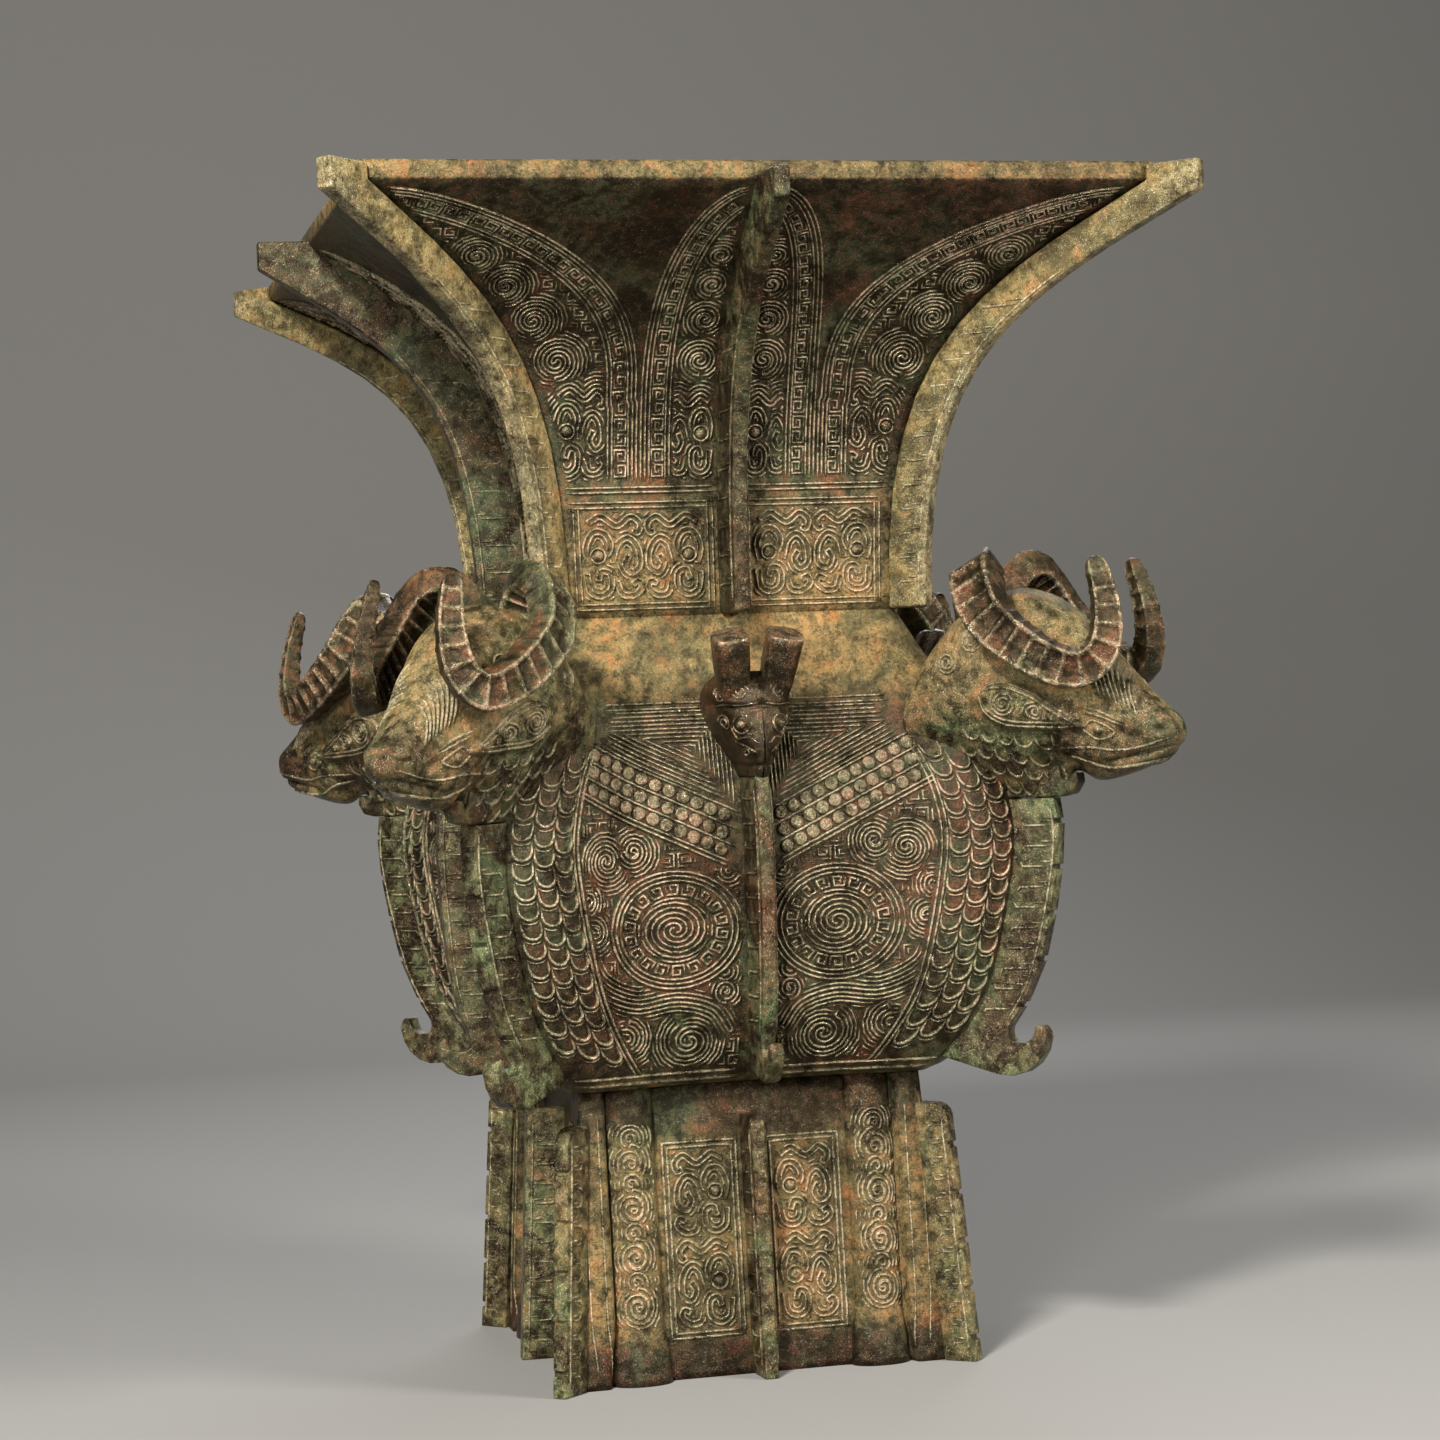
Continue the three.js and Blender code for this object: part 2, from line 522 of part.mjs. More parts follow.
// A body swept along the curl, tapering to the tip, with a rib at every other ring. Its broad face
// looks sideways at the middle of the curl
function hornBody() {
  const curve = hornCurve();
  const count = HORN_RIBS * 2;
  const { normals, binormals } = curve.computeFrenetFrames(count);
  const turn = Math.atan2(normals[HORN_RIBS].y, binormals[HORN_RIBS].y);
  const rings = [];
  for (let i = 0; i <= count; i++) {
    const middle = curve.getPointAt(i / count);
    const along = curve.getTangentAt(i / count);
    const wideWay = normals[i].clone().applyAxisAngle(along, -turn);
    const deepWay = binormals[i].clone().applyAxisAngle(along, -turn);
    const taper = THREE.MathUtils.lerp(1, HORN_TIP, (i / count) ** 2);
    const rise = i % 2 ? HORN_RIB_RISE : 0;
    const ring = [];
    for (let j = 0; j < HORN_SIDES; j++) {
      const a = ((j + 0.5) / HORN_SIDES) * 2 * Math.PI;
      const wide = (HORN_WIDE + rise) * taper * squared(Math.cos(a), HORN_SQUARENESS);
      const deep = (HORN_DEEP + rise) * taper * squared(Math.sin(a), HORN_SQUARENESS);
      ring.push(middle.clone().addScaledVector(wideWay, wide).addScaledVector(deepWay, deep));
    }
    rings.push(ring);
  }
  return loft(rings);
}

// The same body on the other side of the head, with its faces turned to stay outside
function mirrored(geometry) {
  const copy = geometry.clone().scale(1, -1, 1);
  const index = copy.index.array;
  for (let i = 0; i < index.length; i += 3) {
    [index[i], index[i + 1]] = [index[i + 1], index[i]];
  }
  return copy;
}

const ball = (radius, x, y, z) => new THREE.SphereGeometry(radius, 8, 5).translate(x, y, z);
const bellyCutter = bellySkin(bellyLevels, FIT_GAP, true);

function ramHead() {
  const parts = [headSkin(0)];
  for (const side of [1, -1]) {
    parts.push(ball(EYE.radius, headFoot + EYE.out, side * EYE.side, HEAD_Z + EYE.up));
    const ear = new THREE.SphereGeometry(1, 8, 5).scale(EAR.long, EAR.thick, EAR.high);
    ear.rotateY(EAR_TILT).translate(headFoot + EAR.out, side * EAR.side, HEAD_Z + EAR.up);
    parts.push(ear);
  }
  const beard = new THREE.Shape();
  const [back, front] = [headFoot + BEARD.out, headFoot + BEARD.out + BEARD.long];
  beard.moveTo(back, throatZ);
  beard.lineTo(front - BEARD.high / 2, throatZ);
  beard.quadraticCurveTo(front, throatZ, front, throatZ + BEARD.high / 2);
  beard.lineTo(front, throatZ + BEARD.high);
  beard.lineTo(back, throatZ + BEARD.high);
  parts.push(plate(beard, BEARD.thick));
  const mouth = new THREE.BoxGeometry(MOUTH.long, 4 * headFoot, MOUTH.slit).rotateY(-MOUTH_TILT);
  mouth.translate(headFoot + MOUTH.out + MOUTH.long / 2, 0, HEAD_Z + MOUTH.up);
  const socket = hornTenon(FIT_GAP);
  const body = cut(join(...parts), turned(bellyCutter, CORNERS.back_right), mouth, socket, mirrored(socket));
  return join(body, tenon(chestAt, HEAD_Z, HEAD_TENON, 0));
}

function ramHorn() {
  return join(cut(hornBody(), headSkin(FIT_GAP)), hornTenon(0));
}

function dragonHead() {
  const middle = BELLY_HALF - DRAGON_INSET;
  const rings = DRAGON_STATIONS.map((station) => {
    const ring = [];
    for (let i = 0; i < DRAGON_SIDES; i++) {
      const a = (i / DRAGON_SIDES) * 2 * Math.PI;
      const out = middle + (station.out + DRAGON_INSET) * Math.cos(a);
      ring.push(new THREE.Vector3(out, station.half * Math.sin(a), DRAGON_Z + station.up));
    }
    return ring;
  });
  const parts = [loft(rings)];
  const { out, side: apart, up, long, root, tip } = hundredths(DRAGON_HEIGHT, DRAGON_HORN);
  for (const side of [1, -1]) {
    const horn = new THREE.CylinderGeometry(tip, root, long, 8).rotateX(Math.PI / 2);
    horn.translate(0, 0, long / 2).rotateY(DRAGON_HORN_LEAN).rotateX(-side * DRAGON_HORN_SPLAY);
    parts.push(horn.translate(BELLY_HALF + out, side * apart, DRAGON_Z + up));
    const eyeAt = [BELLY_HALF + DRAGON_EYE.out, side * DRAGON_EYE.side, DRAGON_Z + DRAGON_EYE.up];
    parts.push(ball(DRAGON_EYE.radius, ...eyeAt));
  }
  return join(cut(join(...parts), bellyCutter), tenon(faceAt, DRAGON_Z, DRAGON_TENON, 0));
}

// Sections

function neck() {
  const outer = [{ z: NECK_Z + FIT_GAP, half: NECK_HALF }, ...neckLevels.slice(1)];
  const spigot = NECK_HALF - WALL - FIT_GAP;
  const mouth = RIM_HALF - RIM_LEDGE;
  const bore = [
    { z: NECK_Z - SPIGOT_DEPTH - OVER, half: spigot - SPIGOT_WALL },
    { z: NECK_Z + WALL, half: spigot - SPIGOT_WALL },
    ...flare(NECK_HALF - WALL, mouth, RIM_Z).filter((p) => p.z > NECK_Z + 2 * WALL),
    { z: RIM_Z + OVER, half: mouth },
  ];
  const walls = loft(outer.map((p) => squareRing(p.half, p.z)));
  const body = join(walls, squareBlock(spigot, NECK_Z - SPIGOT_DEPTH, NECK_Z + WALL));
  const span = [neckLevels, NECK_Z - OVER];
  return cut(
    body,
    loft(bore.map((p) => squareRing(p.half, p.z))),
    ...around(SIDES, groove(neckAt, ...span, RIM_Z - NECK_FLANGE_DROP + FIT_GAP, NECK_FLANGE_THICK)),
    ...around(CORNERS, groove(neckCornerAt, ...span, RIM_Z - NECK_CORNER_DROP + FIT_GAP, NECK_FLANGE_THICK)),
  );
}

function belly() {
  const lifted = [{ ...bellyLevels[0], z: BELLY_Z + FIT_GAP }, ...bellyLevels.slice(1)];
  const spigot = FOOT_TOP_HALF - WALL - FIT_GAP;
  const plug = squareBlock(spigot, BELLY_Z - SPIGOT_DEPTH, BELLY_Z + FLOOR / 2);
  const ornament = faceRelief().flatMap((half) => around(SIDES, half));
  const body = join(bellySkin(lifted, 0, true), plug, ...ornament);
  const [floorZ, seatZ] = [BELLY_Z + FLOOR, NECK_Z - SPIGOT_DEPTH - FIT_GAP];
  const bottom = { z: floorZ, face: faceAt(floorZ), chest: chestAt(floorZ) / DIAGONAL };
  bottom.round = valueAt(bellyLevels, floorZ, "round");
  const inside = (level) => level.z > floorZ + OVER && level.z < seatZ - 2 * WALL;
  const between = bellyLevels.filter((level, i) => i % 2 === 0 && inside(level));
  const seam = bellyLevels.at(-1);
  const cavity = [bottom, ...between, { ...seam, z: seatZ }, { ...seam, z: NECK_Z + OVER }];
  const low = HOOK_ROOT_Z - 2 * OVER;
  return cut(
    body,
    bellySkin(cavity, -WALL, false),
    squareBlock(NECK_HALF - WALL, seatZ, NECK_Z + OVER),
    squareBlock(spigot - SPIGOT_WALL, BELLY_Z - SPIGOT_DEPTH - OVER, BELLY_Z),
    ...around(SIDES, groove(faceAt, bellyLevels, low, DRAGON_Z, BELLY_FLANGE_THICK)),
    ...around(CORNERS, groove(chestAt, bellyLevels, low, throatZ, CHEST_FLANGE_THICK)),
    ...around(SIDES, tenon(faceAt, DRAGON_Z, DRAGON_TENON, FIT_GAP)),
    ...around(CORNERS, tenon(chestAt, HEAD_Z, HEAD_TENON, FIT_GAP)),
  );
}

// One level of the foot: half a face with the bulge of a leg on it
function footRing(z, half, legHalf, legOut) {
  const points = [[0, half], [LEG_OFFSET - legHalf, half]];
  for (const degrees of [150, 120, 90, 60, 30]) {
    const a = THREE.MathUtils.degToRad(degrees);
    points.push([LEG_OFFSET + legHalf * Math.cos(a), half + legOut * Math.sin(a)]);
  }
  const corner = half + CORNER_RISE;
  const beside = LEG_OFFSET + legHalf;
  points.push([beside, half + legOut / 3], [beside + CORNER_RISE / 4, corner], [corner, corner]);
  return fourfold(points, z);
}

function foot() {
  const fetlock = HOOF_HEIGHT + HOOF_OUT;
  const body = loft([
    footRing(0, FOOT_HALF, HOOF_HALF, HOOF_OUT),
    footRing(HOOF_HEIGHT, footAt(HOOF_HEIGHT), HOOF_HALF, HOOF_OUT),
    footRing(fetlock, footAt(fetlock), LEG_HALF, LEG_OUT),
    footRing(FOOT_HEIGHT, FOOT_TOP_HALF, LEG_HALF, LEG_OUT),
  ]);
  const bore = loft([
    squareRing(FOOT_HALF - WALL, -OVER),
    squareRing(FOOT_TOP_HALF - WALL, FOOT_HEIGHT - SPIGOT_DEPTH),
    squareRing(FOOT_TOP_HALF - WALL, FOOT_HEIGHT + OVER),
  ]);
  const high = FOOT_HEIGHT - FOOT_FLANGE_DROP + FIT_GAP;
  return cut(
    body,
    bore,
    ...around(SIDES, groove(footAt, footLevels, -OVER, high, FOOT_FLANGE_THICK)),
    ...around(CORNERS, groove(footCornerAt, footLevels, -OVER, high, FOOT_FLANGE_THICK)),
  );
}

// The assembly

const bronze = { olive: 0x3f4130, dark: 0x2e2f26, brown: 0x4a3a2a, green: 0x55604a };
const vessel = new THREE.Group();
vessel.name = "four_ram_zun";

function place(name, geometry, color, degrees = 0) {
  const material = new THREE.MeshStandardMaterial({ color, roughness: 0.55, metalness: 0.6 });
  const mesh = new THREE.Mesh(geometry, material);
  mesh.geometry.computeVertexNormals();
  mesh.name = name;
  mesh.rotation.z = THREE.MathUtils.degToRad(degrees);
  vessel.add(mesh);
}

function placeAround(name, places, geometry, color) {
  Object.entries(places).forEach(([where, degrees]) => place(`${name}_${where}`, geometry, color, degrees));
}

place("neck", neck(), bronze.olive);
place("belly", belly(), bronze.olive);
place("foot", foot(), bronze.olive);
const midNeck = neckFlange(neckAt, 1, NECK_FLANGE_OUT, NECK_FLANGE_TIP, NECK_FLANGE_DROP);
const cornerNeck = neckFlange(neckCornerAt, DIAGONAL, NECK_CORNER_OUT, NECK_CORNER_TIP, NECK_CORNER_DROP);
const midTop = DRAGON_Z - FIT_GAP;
const midBelly = hookedFlange(faceAt, BELLY_FLANGE_OUT, midTop, BELLY_FLANGE_THICK, BELLY_HOOK);
const chestTop = throatZ - FIT_GAP;
const chest = hookedFlange(chestAt, CHEST_FLANGE_OUT, chestTop, CHEST_FLANGE_THICK, CHEST_HOOK);
placeAround("neck_flange", SIDES, midNeck, bronze.dark);
placeAround("neck_corner_flange", CORNERS, cornerNeck, bronze.green);
placeAround("belly_flange", SIDES, midBelly, bronze.dark);
placeAround("chest_flange", CORNERS, chest, bronze.green);
placeAround("foot_flange", SIDES, footFlange(footAt, FOOT_FLANGE_OUT), bronze.dark);
placeAround("foot_corner_flange", CORNERS, footFlange(footCornerAt, FOOT_CORNER_OUT), bronze.green);
placeAround("ram_head", CORNERS, ramHead(), bronze.olive);
placeAround("dragon_head", SIDES, dragonHead(), bronze.brown);

// Each ram has a horn beside each of the two faces that meet at its corner
const sideNames = Object.keys(SIDES);
const leftHorn = ramHorn();
const rightHorn = mirrored(leftHorn);
Object.entries(CORNERS).forEach(([corner, degrees], i) => {
  place(`ram_horn_${corner}_by_${sideNames[(i + 1) % 4]}`, leftHorn, bronze.brown, degrees);
  place(`ram_horn_${corner}_by_${sideNames[i]}`, rightHorn, bronze.brown, degrees);
});

export default vessel;
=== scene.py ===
import math
from functools import partial

import bmesh
import bpy
import numpy as np
from bmesh.types import BMEdge, BMFace, BMVert
from mathutils import Matrix, Vector


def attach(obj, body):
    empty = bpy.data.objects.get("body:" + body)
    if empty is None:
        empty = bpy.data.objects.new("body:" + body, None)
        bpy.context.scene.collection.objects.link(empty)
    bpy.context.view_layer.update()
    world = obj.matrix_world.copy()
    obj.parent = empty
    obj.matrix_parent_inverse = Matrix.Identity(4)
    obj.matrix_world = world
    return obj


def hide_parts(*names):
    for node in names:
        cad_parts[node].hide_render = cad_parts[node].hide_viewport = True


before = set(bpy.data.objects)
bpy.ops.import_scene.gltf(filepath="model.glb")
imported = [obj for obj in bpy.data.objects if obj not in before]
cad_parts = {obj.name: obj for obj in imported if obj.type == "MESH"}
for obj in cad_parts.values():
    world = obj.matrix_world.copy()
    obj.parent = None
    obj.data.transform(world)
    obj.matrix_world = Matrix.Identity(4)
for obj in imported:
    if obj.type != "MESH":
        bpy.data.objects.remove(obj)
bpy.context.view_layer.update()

# The place: a pale seamless floor that turns up into a backdrop. A small key lamp stands high at the
# left with a low one under it, a wider one is at the right and a broad one behind. The camera is low
# and a little to the left of the front face.
CAMERA_AT = Vector((-0.3845, -1.6160, 0.3156))
CAMERA_YAW, CAMERA_PITCH, CAMERA_ROLL = 0.2415, 0.0054, -0.042
LENS, SENSOR = 79.4, 36
SKY, SKY_STRENGTH = (0.97, 0.98, 1.0, 1), 0.06
PAPER, PAPER_ROUGH = (0.215, 0.213, 0.209, 1), 0.9
FLOOR_FRONT, FLOOR_BACK, FLOOR_WIDE, SWEEP, BACKDROP = -7.0, 1.6, 7.0, 0.8, 3.0
scene = bpy.context.scene
scene.view_settings.view_transform = "Standard"

ahead = Vector((math.sin(CAMERA_YAW), math.cos(CAMERA_YAW), 0)) * math.cos(CAMERA_PITCH)
ahead.z = math.sin(CAMERA_PITCH)
level = ahead.cross(Vector((0, 0, 1))).normalized()
upright = level.cross(ahead)
right = level * math.cos(CAMERA_ROLL) + upright * math.sin(CAMERA_ROLL)
top = upright * math.cos(CAMERA_ROLL) - level * math.sin(CAMERA_ROLL)
camera_data = bpy.data.cameras.new("camera")
camera_data.lens = LENS
camera_data.sensor_width = SENSOR
camera = bpy.data.objects.new("camera", camera_data)
turn = Matrix((right, top, -ahead)).transposed()
camera.matrix_world = Matrix.Translation(CAMERA_AT) @ turn.to_4x4()
scene.collection.objects.link(camera)
scene.camera = camera

world = bpy.data.worlds.new("studio")
world.use_nodes = True
world.node_tree.nodes["Background"].inputs["Color"].default_value = SKY
world.node_tree.nodes["Background"].inputs["Strength"].default_value = SKY_STRENGTH
scene.world = world


def lamp(name, place, aim, size, power, colour):
    light = bpy.data.lights.new(name, "AREA")
    light.size = size
    light.energy = power
    light.color = colour
    holder = bpy.data.objects.new(name, light)
    holder.location = place
    holder.rotation_euler = (Vector(aim) - Vector(place)).to_track_quat("-Z", "Y").to_euler()
    scene.collection.objects.link(holder)


lamp("key_lamp", (-0.95, -1.4, 1.55), (0, 0, 0.36), 0.3, 84, (1.0, 0.96, 0.89))
lamp("front_lamp", (-0.85, -1.75, 0.55), (0, 0, 0.3), 0.28, 19, (1.0, 0.97, 0.92))
lamp("right_lamp", (1.3, -1.2, 1.05), (0, 0, 0.33), 0.5, 40, (1.0, 0.95, 0.87))
lamp("back_lamp", (0.5, 1.5, 1.5), (0, 0, 0.4), 1.0, 20, (0.95, 0.97, 1.0))


def only(kind, geom):
    """The parts of one kind among what an operator made."""
    return [part for part in geom if isinstance(part, kind)]


floor_mesh = bmesh.new()
front_ends = [floor_mesh.verts.new((x, FLOOR_FRONT, 0)) for x in (-FLOOR_WIDE, FLOOR_WIDE)]
made = bmesh.ops.extrude_edge_only(floor_mesh, edges=[floor_mesh.edges.new(front_ends)])["geom"]
bmesh.ops.translate(floor_mesh, vec=(0, FLOOR_BACK - FLOOR_FRONT, 0), verts=only(BMVert, made))
made = bmesh.ops.spin(floor_mesh, geom=only(BMVert, made) + only(BMEdge, made), cent=(0, FLOOR_BACK, SWEEP),
                      axis=(1, 0, 0), angle=math.pi / 2, steps=16)["geom_last"]
made = bmesh.ops.extrude_edge_only(floor_mesh, edges=only(BMEdge, made))["geom"]
bmesh.ops.translate(floor_mesh, vec=(0, 0, BACKDROP), verts=only(BMVert, made))
bmesh.ops.remove_doubles(floor_mesh, verts=floor_mesh.verts, dist=1e-5)
bmesh.ops.recalc_face_normals(floor_mesh, faces=floor_mesh.faces)
floor_data = bpy.data.meshes.new("floor")
floor_mesh.to_mesh(floor_data)
floor_mesh.free()
for face in floor_data.polygons:
    face.use_smooth = True
floor = bpy.data.objects.new("floor", floor_data)
scene.collection.objects.link(floor)
paper = bpy.data.materials.new("floor_paper")
paper.use_nodes = True
paper_shader = paper.node_tree.nodes["Principled BSDF"]
paper_shader.inputs["Base Color"].default_value = PAPER
paper_shader.inputs["Roughness"].default_value = PAPER_ROUGH
floor_data.materials.append(paper)

# The foot: a hollow square bronze casting that spreads to the ground, with a ram's foreleg near each
# end of a face. Its clay mould was carved, so the ornament stands up in fine threads with the metal,
# and the belly's spigot goes down into its top.
MM = 0.001
FOOT_HEIGHT = 144.5
FOOT_TOP_HALF, FOOT_HALF, CORNER_RISE = 78.0, 87.0, 9.0
LEG_OFFSET, LEG_HALF, LEG_OUT = 61.0, 12.0, 7.0
HOOF_HALF, HOOF_OUT = 15.0, 10.0
HOOF_RISE, HOOF_SHARE = [0, 4, 14, 22, 32], [1.05, 1, 0.85, 0.4, 0]
WALL = 5.0
PANEL, PANEL_FRAME = (7.5, 45.0, 20.0, 116.0), (0, 2.4)
PILASTER_LINES, PILASTER_RUNG = (88.5, 96.5), 6


def foot_ring(z):
    """Half a face of the foot at a height: the plain face, the leg on it and the corner."""
    share = z / FOOT_HEIGHT
    half = FOOT_HALF + (FOOT_TOP_HALF - FOOT_HALF) * share
    hoof = np.interp(z, HOOF_RISE, HOOF_SHARE)
    wide = LEG_HALF + (HOOF_HALF - LEG_HALF) * hoof
    out = LEG_OUT + (HOOF_OUT - LEG_OUT) * hoof
    points = [(half, y, z) for y in np.linspace(0, LEG_OFFSET - wide - 2, 10)]
    for degrees in np.linspace(180, 12, 17):
        a = math.radians(degrees)
        points.append((half + out * math.sin(a) ** 0.85, LEG_OFFSET + wide * math.cos(a), z))
    corner = half + CORNER_RISE
    points += [(half + out / 3, LEG_OFFSET + wide + 0.5, z), (corner - 1, LEG_OFFSET + wide + 2, z)]
    points += [(corner, y, z) for y in np.linspace(LEG_OFFSET + wide + 3.5, corner, 6)]
    return points


def foot_bore(z):
    """The inside of the foot at a height, with as many points as the outside."""
    half = FOOT_HALF - WALL - (FOOT_HALF - FOOT_TOP_HALF) * z / FOOT_HEIGHT
    return [(half, min(y, half), z) for _, y, _ in foot_ring(z)]


def run_of(points):
    """How far along a line each of its points lies."""
    return np.r_[0, np.cumsum(np.linalg.norm(np.diff(points, axis=0), axis=1))]


def points_at(points, run, at):
    """The points of a line at given runs along it."""
    return np.stack([np.interp(at, run, column) for column in points.T], axis=-1)


def mould(rings, samples=72):
    """A skin to press ornament on: rings from the middle of a face to its corner, from low to high,
    with the run of each ring and the rise up the middle in millimetres."""
    even, reach = [], []
    for points in rings:
        points = np.asarray(points, float)
        run = run_of(points)
        even.append(points_at(points, run, np.linspace(0, run[-1], samples)))
        reach.append(run[-1])
    even = np.array(even)
    out = np.cross(np.gradient(even, axis=1), np.gradient(even, axis=0))
    out /= np.linalg.norm(out, axis=2)[:, :, None]
    return {"skin": even, "out": out, "reach": np.array(reach), "rise": run_of(even[:, 0])}


def on_mould(face, flat):
    """Points drawn flat as (along, up, height) bent over the skin."""
    levels, samples = face["skin"].shape[:2]
    row = np.interp(flat[:, 1], face["rise"], np.arange(levels))
    reach = np.interp(flat[:, 1], face["rise"], face["reach"])
    column = np.clip(flat[:, 0] / reach, 0, 1) * (samples - 1)
    i = np.minimum(row.astype(int), levels - 2)
    j = np.minimum(column.astype(int), samples - 2)
    f, g = (row - i)[:, None], (column - j)[:, None]

    def mixed(table):
        low = table[i, j] * (1 - g) + table[i, j + 1] * g
        return low * (1 - f) + (table[i + 1, j] * (1 - g) + table[i + 1, j + 1] * g) * f

    out = mixed(face["out"])
    return mixed(face["skin"]) + flat[:, 2:] * out / np.linalg.norm(out, axis=1)[:, None]


def shell(bm, rings):
    """A grid bent over rings of half a face that go once round the thickness of a wall."""
    rows, columns = len(rings), len(rings[0])
    made = bmesh.ops.create_grid(bm, x_segments=columns - 1, y_segments=rows - 1, size=0.5)
    for v in made["verts"]:
        row, column = round((v.co.y + 0.5) * (rows - 1)), round((v.co.x + 0.5) * (columns - 1))
        v.co = Vector(rings[row][column]) * MM


foot_levels = np.r_[0, 4, 9, 14, 18, 22, 27, 32, np.linspace(40, FOOT_HEIGHT, 14)]
foot_rings = [foot_ring(z) for z in foot_levels]
foot_face = mould(foot_rings, 160)
on_foot = partial(on_mould, foot_face)
foot_mesh = bmesh.new()
shell(foot_mesh, foot_rings + [foot_bore(FOOT_HEIGHT), foot_bore(0), foot_ring(0)])

# Ornament is drawn flat in millimetres, as a carver cuts it into clay, and its lines keep clear of
# one another.
DRAWN_STEP, ROOM_CELL = 0.8, 2
STRAIGHT, LONGEST_STEP = 0.12, 5


def flow(points, each=8):
    """A smooth line through a few points."""
    p = np.asarray(points, float)
    p = np.vstack([2 * p[0] - p[1], p, 2 * p[-1] - p[-2]])
    t = np.linspace(0, 1, each, endpoint=False)[:, None]
    bends = []
    for a, b, c, d in zip(p, p[1:], p[2:], p[3:]):
        curl = 2 * a - 5 * b + 4 * c - d + t * (3 * b - a - 3 * c + d)
        bends.append(b + 0.5 * t * (c - a + t * curl))
    return np.vstack(bends + [p[-2:-1]])


def coil(x, y, size, turns, start=0.0, hand=1, wide=1.0, core=0.9):
    """A round spiral from its rim in to its core."""
    t = np.linspace(0, 1, int(turns * 15) + 2)
    r = size + (core - size) * t
    a = math.radians(start) + hand * 2 * math.pi * turns * t
    return np.c_[x + wide * r * np.cos(a), y + r * np.sin(a)]


def key(x, y, wide, high, pitch, hand=1):
    """A squared spiral, the thunder pattern, that fills a box from its corner inwards."""
    x0, x1, y0, y1 = 0.0, wide, 0.0, high
    path = [(x0, y0)]
    while x1 - x0 > pitch * 0.6 and y1 - y0 > pitch * 0.6:
        path += [(x1, y0), (x1, y1), (x0, y1)]
        y0 += pitch
        path.append((x0, y0))
        x0 += pitch
        x1 -= pitch
        y1 -= pitch
    path = np.array(path[:-1])
    if hand < 0:
        path[:, 0] = wide - path[:, 0]
    return path + (x, y)


def ring(x, y, size):
    """A circle."""
    a = np.linspace(0, 2 * math.pi, max(10, int(size * 4)))
    return np.c_[x + size * np.cos(a), y + size * np.sin(a)]


def beside(path, gap):
    """The line that runs beside another at an even gap, to its left."""
    path = np.asarray(path, float)
    way = np.gradient(path, axis=0)
    way /= np.linalg.norm(way, axis=1)[:, None] + 1e-9
    return path + gap * np.c_[-way[:, 1], way[:, 0]]


def fine(path, step):
    """The same line with a point at least every step."""
    path = np.asarray(path, float)
    parts = []
    for a, b in zip(path, path[1:]):
        count = max(1, math.ceil(np.linalg.norm(b - a) / step))
        parts.append(a + (b - a) * np.linspace(0, 1, count, endpoint=False)[:, None])
    return np.vstack(parts + [path[-1:]])


def kept(paths, inside, shortest=3.0):
    """The runs of the lines that lie where inside says so."""
    runs = []
    for path in paths:
        path = fine(path, DRAWN_STEP)
        good = inside(path[:, 0], path[:, 1])
        cuts = np.flatnonzero(np.diff(good.astype(int))) + 1
        for run, ok in zip(np.split(path, cuts), np.split(good, cuts)):
            if ok[0] and len(run) * DRAWN_STEP > shortest:
                runs.append(thinned(run))
    return runs


def thinned(path):
    """Drops the points of a line that lie straight between their neighbours."""
    keep = [0]
    for i in range(1, len(path) - 1):
        a, b = path[i] - path[keep[-1]], path[i + 1] - path[i]
        turn_by = abs(a[0] * b[1] - a[1] * b[0]) / (np.linalg.norm(a) * np.linalg.norm(b) + 1e-9)
        if turn_by > STRAIGHT or np.linalg.norm(a) > LONGEST_STEP:
            keep.append(i)
    return path[keep + [len(path) - 1]]


class Room:
    """The lines drawn so far on a face, so that the next ones keep clear of them."""

    def __init__(self):
        self.cells = {}

    def add(self, paths):
        for path in paths:
            for x, y in fine(path, DRAWN_STEP):
                cell = int(x // ROOM_CELL), int(y // ROOM_CELL)
                self.cells.setdefault(cell, []).append((x, y))

    def draw(self, paths, inside, gap=1.75, shortest=3.0):
        """The runs of the lines that lie inside and clear of what is there already."""
        drawn = []
        for path in paths:
            runs = kept([path], lambda x, y: inside(x, y) & self.free(x, y, gap), shortest)
            self.add(runs)
            drawn += runs
        return drawn

    def free(self, x, y, gap):
        good = np.ones(len(x), bool)
        for n, (px, py) in enumerate(zip(x, y)):
            i, j = int(px // ROOM_CELL), int(py // ROOM_CELL)
            for key_at in ((i + di, j + dj) for di in (-1, 0, 1) for dj in (-1, 0, 1)):
                for sx, sy in self.cells.get(key_at, ()):
                    if (sx - px) ** 2 + (sy - py) ** 2 < gap * gap:
                        good[n] = False
        return good


def outlined(path, half):
    """The two edges of a band along a line, closed round its ends."""
    left, back = beside(path, half), beside(path, -half)[::-1]
    return np.vstack([left, back, left[:1]])


def filled(bands, half, inside, box, room, echoes=4, pitch=2.1, cell=8.4):
    """Bands outlined, echoed by lines that run beside them, and a thunder ground in what is left."""
    edges = room.draw([outlined(path, half) for path in bands], inside, 1.0)
    lines = []
    for n in range(1, echoes + 1):
        for path in bands:
            pair = [beside(path, side * (half + n * pitch)) for side in (-1, 1)]
            lines += room.draw(pair, inside, 1.7)
    lines += room.draw(thunder(box, cell, pitch), inside, 1.7, 4.0)
    x0, x1, y0, y1 = box
    dashes = [np.array([(x0, y), (x1, y)]) for y in np.arange(y0, y1, pitch)]
    lines += room.draw(dashes, inside, 1.65, 2.2)
    return edges, lines


